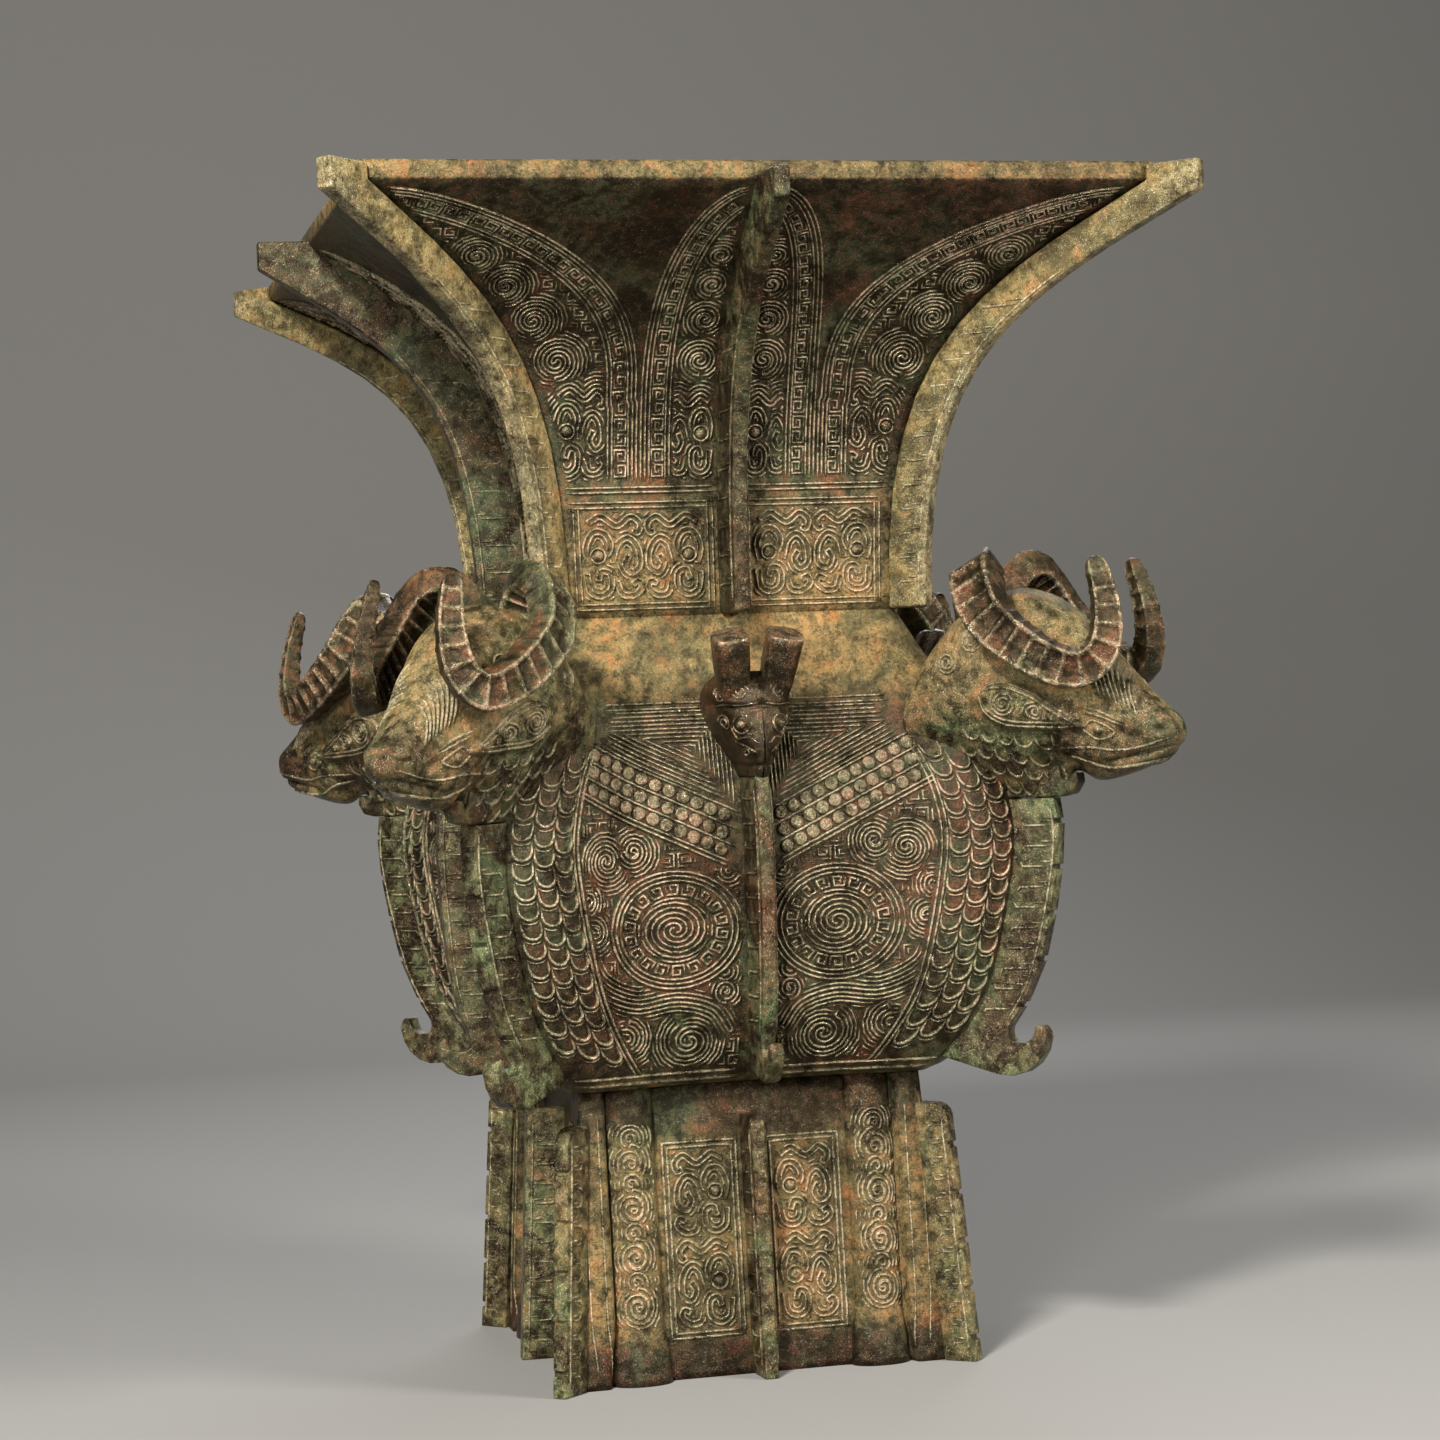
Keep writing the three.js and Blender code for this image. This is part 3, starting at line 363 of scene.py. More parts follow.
def thunder(box, cell, pitch):
    """A ground of squared spirals in staggered rows over a box."""
    x0, x1, y0, y1 = box
    rows = []
    for j in range(int((y1 - y0) / cell) + 1):
        for i in range(int((x1 - x0) / cell) + 2):
            x = x0 + (i - 0.5 * (j % 2)) * cell
            hand = 1 if (i + j) % 2 else -1
            rows.append(key(x, y0 + j * cell, cell - pitch, cell - pitch, pitch, hand))
    return rows


def beast(x, y, wide, high, hand=1):
    """The bold lines of a curling beast seen from the side, in a box: jaw, brow, body, tail and crest."""
    strokes = [
        [(0.06, 0.3), (0.1, 0.1), (0.28, 0.04), (0.44, 0.12), (0.44, 0.28), (0.3, 0.32), (0.24, 0.22)],
        [(0.1, 0.4), (0.05, 0.6), (0.16, 0.76), (0.34, 0.76), (0.45, 0.64), (0.4, 0.52), (0.32, 0.56)],
        [(0.48, 0.42), (0.56, 0.62), (0.74, 0.7), (0.9, 0.58), (0.92, 0.38), (0.78, 0.3), (0.68, 0.4),
         (0.75, 0.5)],
        [(0.54, 0.2), (0.62, 0.06), (0.8, 0.04), (0.94, 0.12), (0.9, 0.2), (0.8, 0.17)],
        [(0.1, 0.88), (0.3, 0.95), (0.56, 0.84), (0.78, 0.94), (0.94, 0.86), (0.9, 0.76), (0.82, 0.78)],
    ]
    lines = []
    for stroke in strokes:
        path = flow(stroke, 7)
        if hand < 0:
            path[:, 0] = 1 - path[:, 0]
        lines.append(path * (wide, high) + (x, y))
    eye = (x + wide * (0.25 if hand > 0 else 0.75), y + high * 0.5)
    return lines, eye


def inside_box(x0, x1, y0, y1):
    """The rule that keeps lines in a box."""
    return lambda x, y: (x > x0) & (x < x1) & (y > y0) & (y < y1)


frame_lines = []
for gap in PANEL_FRAME:
    x0, x1, y0, y1 = PANEL[0] + gap, PANEL[1] - gap, PANEL[2] + gap, PANEL[3] - gap
    frame_lines.append(np.array([(x0, y0), (x1, y0), (x1, y1), (x0, y1), (x0, y0)]))
lower, lower_eye = beast(12, 25, 29, 44)
upper, upper_eye = beast(12, 70, 29, 42)
foot_room = Room()
eyes = foot_room.draw([ring(*lower_eye, 4.2), ring(*upper_eye, 3.8)], lambda x, y: x > 0)
in_panel = inside_box(11.8, 40.8, 24.2, 111.8)
bold, ground = filled(lower + upper, 1.3, in_panel, (12, 41, 25, 112), foot_room)
leg = []
for z in (38, 62, 86, 108):
    leg.append(coil(66, z, 8.5, 2.2, 90, 1, 0.85))
    leg.append(coil(66, z + 12, 5, 1.6, -90, -1, 0.9))
leg, leg_ground = filled(leg, 1.3, inside_box(54.5, 78, 28, 128), (54, 79, 28, 128), foot_room)
pilaster = [np.array([(x, 6), (x, 132)]) for x in PILASTER_LINES]
pilaster += [np.array([(90, z), (95.5, z)]) for z in range(12, 130, PILASTER_RUNG)]

THREAD_STEP, THREAD_END, BOSS_RELIEF = 6.0, 0.45, 0.7


def unfolded(path):
    """A line cut wherever it doubles back on itself."""
    way = np.diff(path, axis=0)
    way /= np.linalg.norm(way, axis=1)[:, None] + 1e-9
    back = np.flatnonzero((way[:-1] * way[1:]).sum(axis=1) < -0.25) + 1
    return [path[a:b + 1] for a, b in zip(np.r_[0, back], np.r_[back, len(path) - 1])]


def turned_over(bend, x, y):
    """Whether a bend leaves the faces of what is drawn flat inside out."""
    spots = bend(np.array([(x, y, 0.0), (x + 0.1, y, 0.0), (x, y + 0.1, 0.0), (x, y, 1.0)]))
    return np.linalg.det(spots[1:] - spots[0]) < 0


def add_bent(bm, mesh, bend, flat, relief, inside_out):
    """Adds a mesh that was drawn flat, bent over a surface and marked with how far it stands up."""
    mark = mesh.attributes.new("relief", "FLOAT", "POINT")
    mark.data.foreach_set("value", relief.astype(np.float32))
    mesh.vertices.foreach_set("co", (bend(flat) * MM).astype(np.float32).ravel())
    if inside_out:
        mesh.flip_normals()
    bm.from_mesh(mesh)
    bpy.data.meshes.remove(mesh)


def press(bm, bend, paths, wide, high, sunk=0.4):
    """Raised threads along flat lines, given a rounded section and bent over a surface."""
    section = bpy.data.curves.new("thread_section", "CURVE")
    section.dimensions = "2D"
    rib = section.splines.new("POLY")
    rib.points.add(3)
    shape = [(-0.5, -sunk / high), (-0.27, 1), (0.27, 1), (0.5, -sunk / high)]
    rib.points.foreach_set("co", np.array([(x * wide, y * high, 0, 1) for x, y in shape]).ravel())
    section_holder = bpy.data.objects.new("thread_section", section)
    lines = bpy.data.curves.new("threads", "CURVE")
    lines.dimensions = "2D"
    lines.fill_mode = "NONE"
    lines.bevel_mode = "OBJECT"
    lines.bevel_object = section_holder
    for path in [part for whole in paths for part in unfolded(fine(whole, THREAD_STEP)) if len(part) > 1]:
        spline = lines.splines.new("POLY")
        spline.points.add(len(path) - 1)
        spline.points.foreach_set("co", np.c_[path, np.zeros(len(path)), np.ones(len(path))].ravel())
        spline.points[0].radius = THREAD_END
        spline.points[-1].radius = THREAD_END
    holder = bpy.data.objects.new("threads", lines)
    scene.collection.objects.link(section_holder)
    scene.collection.objects.link(holder)
    graph = bpy.context.evaluated_depsgraph_get()
    mesh = bpy.data.meshes.new_from_object(holder.evaluated_get(graph))
    flat = np.empty(len(mesh.vertices) * 3)
    mesh.vertices.foreach_get("co", flat)
    flat = flat.reshape(-1, 3)
    facing = np.empty(len(mesh.polygons) * 3)
    mesh.polygons.foreach_get("normal", facing)
    face_down = facing.reshape(-1, 3)[:, 2].sum() < 0
    inside_out = face_down != turned_over(bend, *paths[0][len(paths[0]) // 2])
    add_bent(bm, mesh, bend, flat, np.clip(flat[:, 2] / high, 0, 1), inside_out)
    bpy.data.objects.remove(holder)
    bpy.data.objects.remove(section_holder)
    bpy.data.curves.remove(lines)
    bpy.data.curves.remove(section)


def boss(bm, bend, x, y, size, high, flat_top=2):
    """A round boss, such as the eye of a beast, pressed on a surface. Over 2 its top is flatter."""
    mesh = bpy.data.meshes.new("boss")
    dome = bmesh.new()
    bmesh.ops.create_uvsphere(dome, u_segments=12, v_segments=8, radius=1)
    geom = dome.verts[:] + dome.edges[:] + dome.faces[:]
    bmesh.ops.bisect_plane(dome, geom=geom, plane_co=(0, 0, -0.3), plane_no=(0, 0, 1), clear_inner=True)
    dome.to_mesh(mesh)
    dome.free()
    flat = np.array([v.co[:] for v in mesh.vertices])
    dome_top = (1 - np.minimum(np.hypot(flat[:, 0], flat[:, 1]), 1) ** flat_top) ** (1 / flat_top)
    flat[:, 2] = np.where(flat[:, 2] > 0, dome_top, flat[:, 2])
    relief = np.clip(flat[:, 2], 0, BOSS_RELIEF)
    add_bent(bm, mesh, bend, flat * (size, size, high) + (x, y, 0), relief, turned_over(bend, x, y))


for paths, wide, high in [(frame_lines, 1.5, 0.8), (bold + eyes, 1.3, 1.3), (ground + leg_ground, 1.1, 1.0),
                          (leg, 1.3, 1.0), (pilaster, 1.1, 0.6)]:
    press(foot_mesh, on_foot, paths, wide, high)
for eye in (lower_eye, upper_eye):
    boss(foot_mesh, on_foot, *eye, 2.6, 1.9)

WELD = 2e-6


def both_sides(bm):
    """Adds the mirror image across the middle, with its faces turned to stay outside, and welds the seam."""
    geom = bm.verts[:] + bm.edges[:] + bm.faces[:]
    made = bmesh.ops.mirror(bm, geom=geom, matrix=Matrix.Identity(4), axis="Y", merge_dist=-1)["geom"]
    bmesh.ops.reverse_faces(bm, faces=only(BMFace, made))
    bmesh.ops.remove_doubles(bm, verts=bm.verts, dist=WELD)


def four_faces(bm):
    """Half a face mirrored, and the whole face repeated on the four sides."""
    both_sides(bm)
    geom = bm.verts[:] + bm.edges[:] + bm.faces[:]
    bmesh.ops.spin(bm, geom=geom, cent=(0, 0, 0), axis=(0, 0, 1), angle=1.5 * math.pi, steps=3,
                   use_duplicate=True)
    bmesh.ops.remove_doubles(bm, verts=bm.verts, dist=WELD)


four_faces(foot_mesh)

# The bronze lay in the ground: green and red corrosion cover it in patches, and soil is left in the low
# places. Its raised threads and edges are lightened, partly as metal rubbed bright by handling and partly
# as painted highlight, with small painted glints on them, and the ground between the threads carries
# painted shade.
SKIN_DARK, SKIN_LIGHT, SKIN_SPECK = (0.03, 0.019, 0.009), (0.07, 0.046, 0.02), (0.17, 0.122, 0.054)
GREEN_DARK, GREEN_LIGHT = (0.026, 0.044, 0.013), (0.135, 0.2, 0.075)
RED_DARK, RED_LIGHT = (0.05, 0.011, 0.005), (0.18, 0.044, 0.015)
EARTH_OLIVE, EARTH_OCHRE, EARTH_RUST = (0.15, 0.155, 0.058), (0.35, 0.225, 0.08), (0.38, 0.16, 0.046)
EARTH_SHADE, EARTH_SPECK, EARTH_GRIT = (0.08, 0.06, 0.022), (0.085, 0.075, 0.026), (0.085, 0.05, 0.017)
# The next two lines: crests lightened by wear with painted highlight, painted shade between threads, pits,
# and painted glints.
WORN_DARK, WEAR_HIGHLIGHT_GREY, WEAR_HIGHLIGHT_PALE = (0.16, 0.12, 0.065), (0.44, 0.46, 0.31), (0.64, 0.51, 0.36)
PAINTED_VALLEY_SHADE, PIT, PAINTED_GLINT = (0.012, 0.008, 0.004), (0.01, 0.007, 0.004), (0.82, 0.74, 0.58)
BUMP_STRENGTH, BUMP_DEEP, GLOSS = 0.9, 0.0012, 0.25


def patina_group():
    """Old bronze from its three layers: dark skin, green and red corrosion, and soil left in the low
    places. Relief is 1 on a raised thread and 0 on the ground between. Low relief gets painted shade, and
    high relief gets wear with painted highlight and more painted glints."""
    group = bpy.data.node_groups.new("patina", "ShaderNodeTree")
    shares = {"Relief": 0.0, "Soil": 0.3, "Green": 0.4, "Red": 0.3, "WearAndHighlight": 0.5, "Grain": 1.0}
    for name, start in shares.items():
        socket = group.interface.new_socket(name, in_out="INPUT", socket_type="NodeSocketFloat")
        socket.default_value = start
    group.interface.new_socket("Colour", in_out="OUTPUT", socket_type="NodeSocketColor")
    for name in ("Roughness", "Metal", "Height"):
        group.interface.new_socket(name, in_out="OUTPUT", socket_type="NodeSocketFloat")
    nodes, links = group.nodes, group.links
    given = nodes.new("NodeGroupInput")
    result = nodes.new("NodeGroupOutput")
    place = nodes.new("ShaderNodeTexCoord")

    def put(socket, value):
        if isinstance(value, bpy.types.NodeSocket):
            links.new(value, socket)
        else:
            socket.default_value = (*value, 1) if isinstance(value, tuple) else value

    def noise(scale, detail, rough, warp=0.0):
        node = nodes.new("ShaderNodeTexNoise")
        for name, value in [("Scale", scale), ("Detail", detail), ("Roughness", rough), ("Distortion", warp)]:
            put(node.inputs[name], value)
        put(node.inputs["Vector"], place.outputs["Object"])
        return node.outputs["Fac"]

    def maths(kind):
        def worked_out(a, b, clamp=False):
            node = nodes.new("ShaderNodeMath")
            node.operation = kind
            node.use_clamp = clamp
            put(node.inputs[0], a)
            put(node.inputs[1], b)
            return node.outputs[0]
        return worked_out

    plus, minus, times = maths("ADD"), maths("SUBTRACT"), maths("MULTIPLY")

    def blend(first, *others):
        """The sum of values, each times its share."""
        total = times(*first)
        for value, share in others:
            total = plus(total, times(value, share))
        return total

    def step(value, low, high):
        """0 up to low, 1 from high on, and smooth between."""
        node = nodes.new("ShaderNodeMapRange")
        node.interpolation_type = "SMOOTHSTEP"
        put(node.inputs["Value"], value)
        put(node.inputs["From Min"], low)
        put(node.inputs["From Max"], high)
        return node.outputs["Result"]

    def mix(share, a, b):
        node = nodes.new("ShaderNodeMix")
        node.data_type = "RGBA"
        put(node.inputs[0], share)
        put(node.inputs[6], a)
        put(node.inputs[7], b)
        return node.outputs[2]

    broad = noise(9, 4, 0.6)
    far = noise(21, 5, 0.65, 1.0)
    patch = noise(47, 6, 0.7, 0.8)
    speck = noise(170, 6, 0.75)
    grit = noise(640, 4, 0.8)
    grain = noise(1500, 2, 0.75)
    relief, soil = given.outputs["Relief"], given.outputs["Soil"]

    skin = mix(step(patch, 0.36, 0.64), SKIN_DARK, SKIN_LIGHT)
    skin = mix(step(speck, 0.48, 0.68), skin, SKIN_SPECK)
    green_at = blend((far, 0.6), (patch, 0.5), (minus(speck, 0.5), 0.25))
    green_at = times(step(green_at, 0.47, 0.66), given.outputs["Green"], True)
    skin = mix(green_at, skin, mix(step(speck, 0.38, 0.62), GREEN_DARK, GREEN_LIGHT))
    red_at = blend((patch, 0.7), (broad, 0.4), (minus(speck, 0.5), 0.9))
    red_at = times(step(red_at, 0.52, 0.68), given.outputs["Red"], True)
    skin = mix(red_at, skin, mix(step(grit, 0.35, 0.65), RED_DARK, RED_LIGHT))
    # Painted shade: the ground between raised threads is darkened towards near black, less where soil lies.
    valley_shade = times(minus(0.62, relief), minus(1.4, times(soil, 1.7)), True)
    skin = mix(valley_shade, skin, PAINTED_VALLEY_SHADE)

    soil_from = minus(1.02, times(soil, 0.8))
    soil_at = blend((broad, 0.3), (patch, 0.4), (speck, 0.5))
    soil_at = step(soil_at, minus(soil_from, 0.2), plus(soil_from, 0.2))
    soil_at = times(soil_at, plus(times(minus(1.0, relief), 0.45), 0.4), True)
    earth = mix(step(far, 0.4, 0.58), EARTH_OLIVE, EARTH_OCHRE)
    earth = mix(step(patch, 0.5, 0.7), earth, EARTH_RUST)
    earth = mix(times(step(far, 0.5, 0.36), 0.55), earth, EARTH_SHADE)
    earth = mix(times(step(speck, 0.56, 0.36), 0.5), earth, EARTH_SPECK)
    earth = mix(times(step(grit, 0.53, 0.4), 0.55), earth, EARTH_GRIT)
    skin = mix(soil_at, skin, earth)

    # Wear and painted highlight: the crests of raised threads are lightened, partly as rubbed metal and
    # partly as painted highlight.
    wear_and_highlight_at = times(step(relief, 0.5, 1.0), given.outputs["WearAndHighlight"], True)
    wear_and_highlight_at = times(times(wear_and_highlight_at, step(patch, 0.25, 0.6)), step(speck, 0.3, 0.55))
    bright = mix(step(far, 0.43, 0.57), WEAR_HIGHLIGHT_GREY, WEAR_HIGHLIGHT_PALE)
    skin = mix(wear_and_highlight_at, skin, mix(step(grit, 0.39, 0.62), WORN_DARK, bright))
    pits = times(step(grit, 0.46, 0.36), step(speck, 0.66, 0.4))
    skin = mix(times(pits, 0.75), skin, PIT)
    # Painted highlight: small bright glints, more of them on the raised threads.
    painted_glint = times(step(grain, 0.57, 0.67), step(speck, 0.36, 0.6))
    painted_glint = times(painted_glint, plus(0.2, times(relief, 0.7)))
    links.new(mix(painted_glint, skin, PAINTED_GLINT), result.inputs["Colour"])

    rough = plus(minus(0.33, times(relief, 0.1)), times(soil_at, 0.42))
    rough = plus(rough, times(green_at, 0.14))
    links.new(plus(rough, times(minus(speck, 0.5), 0.35), True), result.inputs["Roughness"])
    metal = times(times(minus(1.0, soil_at), 0.72), minus(1.0, green_at))
    links.new(metal, result.inputs["Metal"])
    height = blend((grain, 0.25), (grit, 0.4), (speck, 0.7), (soil_at, 0.3))
    links.new(times(height, given.outputs["Grain"]), result.inputs["Height"])
    return group


patina = patina_group()


def bronze(name, green, red, wear_and_painted_light, grain=1.0):
    """A bronze finish: the patina with its own shares, and its threads and soil read from the mesh."""
    material = bpy.data.materials.new(name)
    material.use_nodes = True
    nodes, links = material.node_tree.nodes, material.node_tree.links
    shader = nodes["Principled BSDF"]
    shader.inputs["Specular IOR Level"].default_value = GLOSS
    coat = nodes.new("ShaderNodeGroup")
    coat.node_tree = patina
    for socket, value in [("Green", green), ("Red", red), ("WearAndHighlight", wear_and_painted_light), ("Grain", grain)]:
        coat.inputs[socket].default_value = value
    for mark, socket in [("relief", "Relief"), ("soil", "Soil")]:
        reader = nodes.new("ShaderNodeAttribute")
        reader.attribute_name = mark
        links.new(reader.outputs["Fac"], coat.inputs[socket])
    bump = nodes.new("ShaderNodeBump")
    bump.inputs["Strength"].default_value = BUMP_STRENGTH
    bump.inputs["Distance"].default_value = BUMP_DEEP
    links.new(coat.outputs["Height"], bump.inputs["Height"])
    links.new(bump.outputs["Normal"], shader.inputs["Normal"])
    for socket, taken in [("Colour", "Base Color"), ("Roughness", "Roughness"), ("Metal", "Metallic")]:
        links.new(coat.outputs[socket], shader.inputs[taken])
    return material


bronze_body = bronze("bronze_body", green=0.75, red=0.95, wear_and_painted_light=0.75)


def ramp(value, start, end):
    """0 up to the start, 1 from the end on."""
    return np.clip((value - start) / (end - start), 0, 1)


def foot_soil(out, z):
    return 0.5 - 0.2 * ramp(z, 112, 127) - 0.3 * ramp(z, 24, 14)


def finished(bm, node, material, soil, turn_by=0.0):
    """The piece as an object that stands for its CAD node, with its share of soil marked for the
    patina. Soil is one share for the whole piece, or a rule of how far from the axis and how high a
    point lies in millimetres."""
    name = f"cast_{node}"
    mesh = bpy.data.meshes.new(name)
    bm.to_mesh(mesh)
    mesh.transform(Matrix.Rotation(math.radians(turn_by), 4, "Z"))
    for polygon in mesh.polygons:
        polygon.use_smooth = True
    place = np.empty(len(mesh.vertices) * 3)
    mesh.vertices.foreach_get("co", place)
    x, y, z = place.reshape(-1, 3).T / MM
    share = soil(np.hypot(x, y), z) if callable(soil) else np.full(len(z), soil)
    mark = mesh.attributes.new("soil", "FLOAT", "POINT")
    mark.data.foreach_set("value", share.astype(np.float32))
    mesh.materials.append(material)
    piece = bpy.data.objects.new(name, mesh)
    scene.collection.objects.link(piece)
    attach(piece, "root")
    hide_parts(node)


finished(foot_mesh, "foot", bronze_body, foot_soil)
foot_mesh.free()

# The belly: the wide middle of the vessel, cast in bronze with its floor and let into the foot by a
# spigot. Flat faces swell into the round chests of the rams at the corners, covered with scales, and
# whorls lie on a thunder ground between.
BELLY_Z, BELLY_HEIGHT = FOOT_HEIGHT, 232.0
NECK_Z = BELLY_Z + BELLY_HEIGHT
BELLY_HALF, CHEST_HALF, CHEST_SPREAD, NECK_HALF = 114.0, 131.0, 56.0, 86.5
FLOOR_THICK = 10
SEAM_INSET = 6 * (1 - math.sqrt(0.5))
COLUMN, SCALE_LONG, SCALES_FROM = 10.6, 9.4, 8.5
BAND_HIGH, BAND_LOW = np.array([99.0, 309.0]), np.array([8.0, 266.0])
TILE_LONG, TILE_ROW, TILE_LEAN = 7.4, 8.0, 2.4
WHORL, GROUND_PITCH = (41.0, 223.0), 2.1
stations = [(0, 82, 91 - SEAM_INSET, 6)]
for up, face_in, chest_in, round_of in [(0.035, 20, 31, 14), (0.15, 8, 16, 21), (0.27, 3, 7.5, 24),
                                        (0.48, 0, 0, 25), (0.6, 1.5, 2.3, 25), (0.7, 6.4, 10, 23),
                                        (0.8, 13.7, 22, 19), (0.9, 22, 35.5, 13)]:
    stations.append((up * BELLY_HEIGHT, BELLY_HALF - face_in, CHEST_HALF - chest_in, round_of))
stations.append((BELLY_HEIGHT, NECK_HALF, NECK_HALF - SEAM_INSET, 6))
belly_levels = flow(stations, 6)


def belly_ring(level, grow=0.0):
    """Half a face of the belly: a flat, a swell and the round of a chest."""
    up, face, chest, round_of = level
    middle = chest - round_of * math.sqrt(0.5)
    bend = max(round_of + grow, 1)
    face = face + grow
    swell = max(middle + bend - face, 0)
    points = [(face, y, BELLY_Z + up) for y in np.linspace(0, middle - CHEST_SPREAD, 9)]
    for share in np.linspace(0, 1, 13)[1:]:
        rise = share * share * (3 - 2 * share)
        points.append((face + swell * rise, middle - CHEST_SPREAD * (1 - share), BELLY_Z + up))
    for degrees in np.linspace(0, 45, 8)[1:]:
        a = math.radians(degrees)
        points.append((face + swell - bend * (1 - math.cos(a)), middle + bend * math.sin(a), BELLY_Z + up))
    return points


rings = [belly_ring(level) for level in belly_levels]
belly_face = mould(rings, 200)
belly_z = belly_face["skin"][:, 0, 2]
rings += [belly_ring(level, -WALL) for level in belly_levels[:3:-3]]
rings += [[(0, 0, z)] * len(rings[0]) for z in (BELLY_Z + FLOOR_THICK, BELLY_Z)] + rings[:1]
belly_mesh = bmesh.new()
shell(belly_mesh, rings)


def on_belly(flat):
    """Bends lines drawn as (along the ring, height from the ground)."""
    flat = flat.copy()
    flat[:, 1] = np.interp(flat[:, 1], belly_z, belly_face["rise"])
    return on_mould(belly_face, flat)


def belly_reach(z):
    return np.interp(z, belly_z, belly_face["reach"])


def scale(x, y, wide, long, way):
    """One overlapping scale: a U that points along way, with its open end at x, y."""
    a = np.linspace(0, math.pi, 9)
    across = wide / 2 * np.cos(a)
    down = long * 0.42 + long * 0.5 * np.sin(a)
    across = np.r_[wide / 2, across, -wide / 2]
    down = np.r_[0, down, 0]
    way = np.asarray(way, float) / np.linalg.norm(way)
    side = np.array([-way[1], way[0]])
    return np.array([x, y]) + down[:, None] * way + across[:, None] * side


def inner_edge(z):
    """Where the ground of a face ends beside the chest."""
    return belly_reach(z) - 46


def band_drop(x, y):
    """How far under the middle line of the scale band a point lies."""
    return (np.c_[x, y] - BAND_LOW) @ band_side


def belly_ground(x, y):
    """Between the flange, the chest and the bottom edge."""
    return (x > 8) & (x < inner_edge(y)) & (y > 155)


def below(x, y):
    """The ground under the scale band, round the whorl."""
    outside = ((x - WHORL[0]) / 35.5) ** 2 + ((y - WHORL[1]) / 30) ** 2 > 1
    return belly_ground(x, y) & (band_drop(x, y) > 15.8) & outside


def above(x, y):
    """The ground between the scale band and the shoulder."""
    return belly_ground(x, y) & (band_drop(x, y) < -13) & (y < 330)


def oval(size):
    """A ring of the whorl, wider than it is high."""
    return ring(*WHORL, size) * (1.2, 1) - (WHORL[0] * 0.2, 0)


def belly_soil(out, z):
    return 0.26 + 0.3 * ramp(z, 322, 344) + 0.25 * ramp(z, 154, 148)


chest_scales, scale_hearts = [], []
for column in range(3):
    near = SCALES_FROM + column * COLUMN
    high_end = 298 + column * 6
    for n in range(int((high_end - 158) / SCALE_LONG)):
        u = scale(0, high_end - n * SCALE_LONG, COLUMN - 1.2, SCALE_LONG, (0, -1))
        u[:, 0] = belly_reach(u[:, 1]) - near - COLUMN / 2 + u[:, 0]
        chest_scales.append(u)
        scale_hearts.append(beside(u[2:-2], 2.2)[1:-1])
z = np.linspace(152, 312, 54)
chest_lines = [np.c_[belly_reach(z) - (SCALES_FROM + 3 * COLUMN + gap), z] for gap in (0.8, 3.6)]
band_long = np.linalg.norm(BAND_LOW - BAND_HIGH)
band_way = (BAND_LOW - BAND_HIGH) / band_long
band_side = np.array([-band_way[1], band_way[0]])
tiles = []
for row in (-1, 0, 1):
    for n in range(int(band_long / TILE_LONG)):
        along = n * TILE_LONG + row * TILE_LEAN + 3.6
        middle = BAND_HIGH + band_way * along + band_side * row * TILE_ROW
        if 10 < middle[0] < belly_reach(middle[1]) - 42:
            tiles.append(middle)
band_lines = []
for offset in (-12.0, -4.0, 4.0, 12.0, 14.2):
    band_lines.append(fine([BAND_HIGH + band_side * offset, BAND_LOW + band_side * offset], 5))
band_lines = kept(band_lines, lambda x, y: (x > 7) & (x < belly_reach(y) - 38))
belly_room = Room()
belly_room.add(band_lines + chest_lines)
whorl = [oval(size) for size in (28.5, 26.3, 24.1)]
whorl += [coil(*WHORL, 14.5, 2.7, start, 1, 1.22) for start in (200, 20)]
fret = np.array([(21.9, 0), (17.5, 0), (17.5, 14), (21.9, 14), (21.9, 5.5), (19.6, 5.5), (19.6, 9)])
for degrees in range(0, 360, 20):
    a = np.radians(degrees + fret[:, 1])
    whorl.append(np.c_[WHORL[0] + 1.2 * fret[:, 0] * np.cos(a), WHORL[1] + fret[:, 0] * np.sin(a)])
whorl = belly_room.draw(whorl, lambda x, y: x > 7.5, 0.9, 2.0)
between = [oval(size) for size in np.arange(2, 23.5, 0.9)]
whorl += belly_room.draw(between, lambda x, y: x > 7.5, 1.6, 1.6)
bands = [flow([(95, 216), (85, 197), (63, 187), (40, 189), (22, 184), (13, 172)], 8)]
bands += [coil(*drawn) for drawn in [
    (34, 168, 11, 1.9, 60, -1, 1.15), (77, 258, 7.5, 1.6, 200, 1, 1.1), (61, 262, 5.5, 1.4, 0, -1),
    (68, 171, 8.5, 1.7, 100, 1, 1.15), (90, 240, 6.5, 1.5, 120, -1), (14, 251, 5, 1.4, 0, 1),
    (16, 202, 4.6, 1.6, 90, -1), (16, 191.5, 4.6, 1.6, -90, 1), (86, 224, 6, 1.4, 20, 1)]]
bold, ground = filled(bands, 1.2, below, (7, 112, 153, 300), belly_room)
for n in range(12):
    inset = GROUND_PITCH * n
    corner_x, corner_z, drop = 9 + inset, 329 - inset, 14 + inset
    top_x = BAND_LOW[0] - (drop + (corner_z - BAND_LOW[1]) * band_side[1]) / band_side[0]
    low_z = BAND_LOW[1] - (drop + (corner_x - BAND_LOW[0]) * band_side[0]) / band_side[1]
    nested = np.array([(corner_x, low_z), (corner_x, corner_z), (top_x, corner_z), (corner_x + 1.4, low_z)])
    ground += belly_room.draw([nested], lambda x, y: above(x, y) & (x >= corner_x), 1.5)
shoulder = [np.array([(8, z), (96, z)]) for z in (330.5, 333.2)]
ground += kept(shoulder, lambda x, y: x < inner_edge(y) + 8)
low_edge = [np.array([(7, z), (belly_reach(z) - 9, z)]) for z in (148.5, 152)]
for x, y in tiles:
    boss(belly_mesh, on_belly, x, y, 3.5, 1.2, 5)
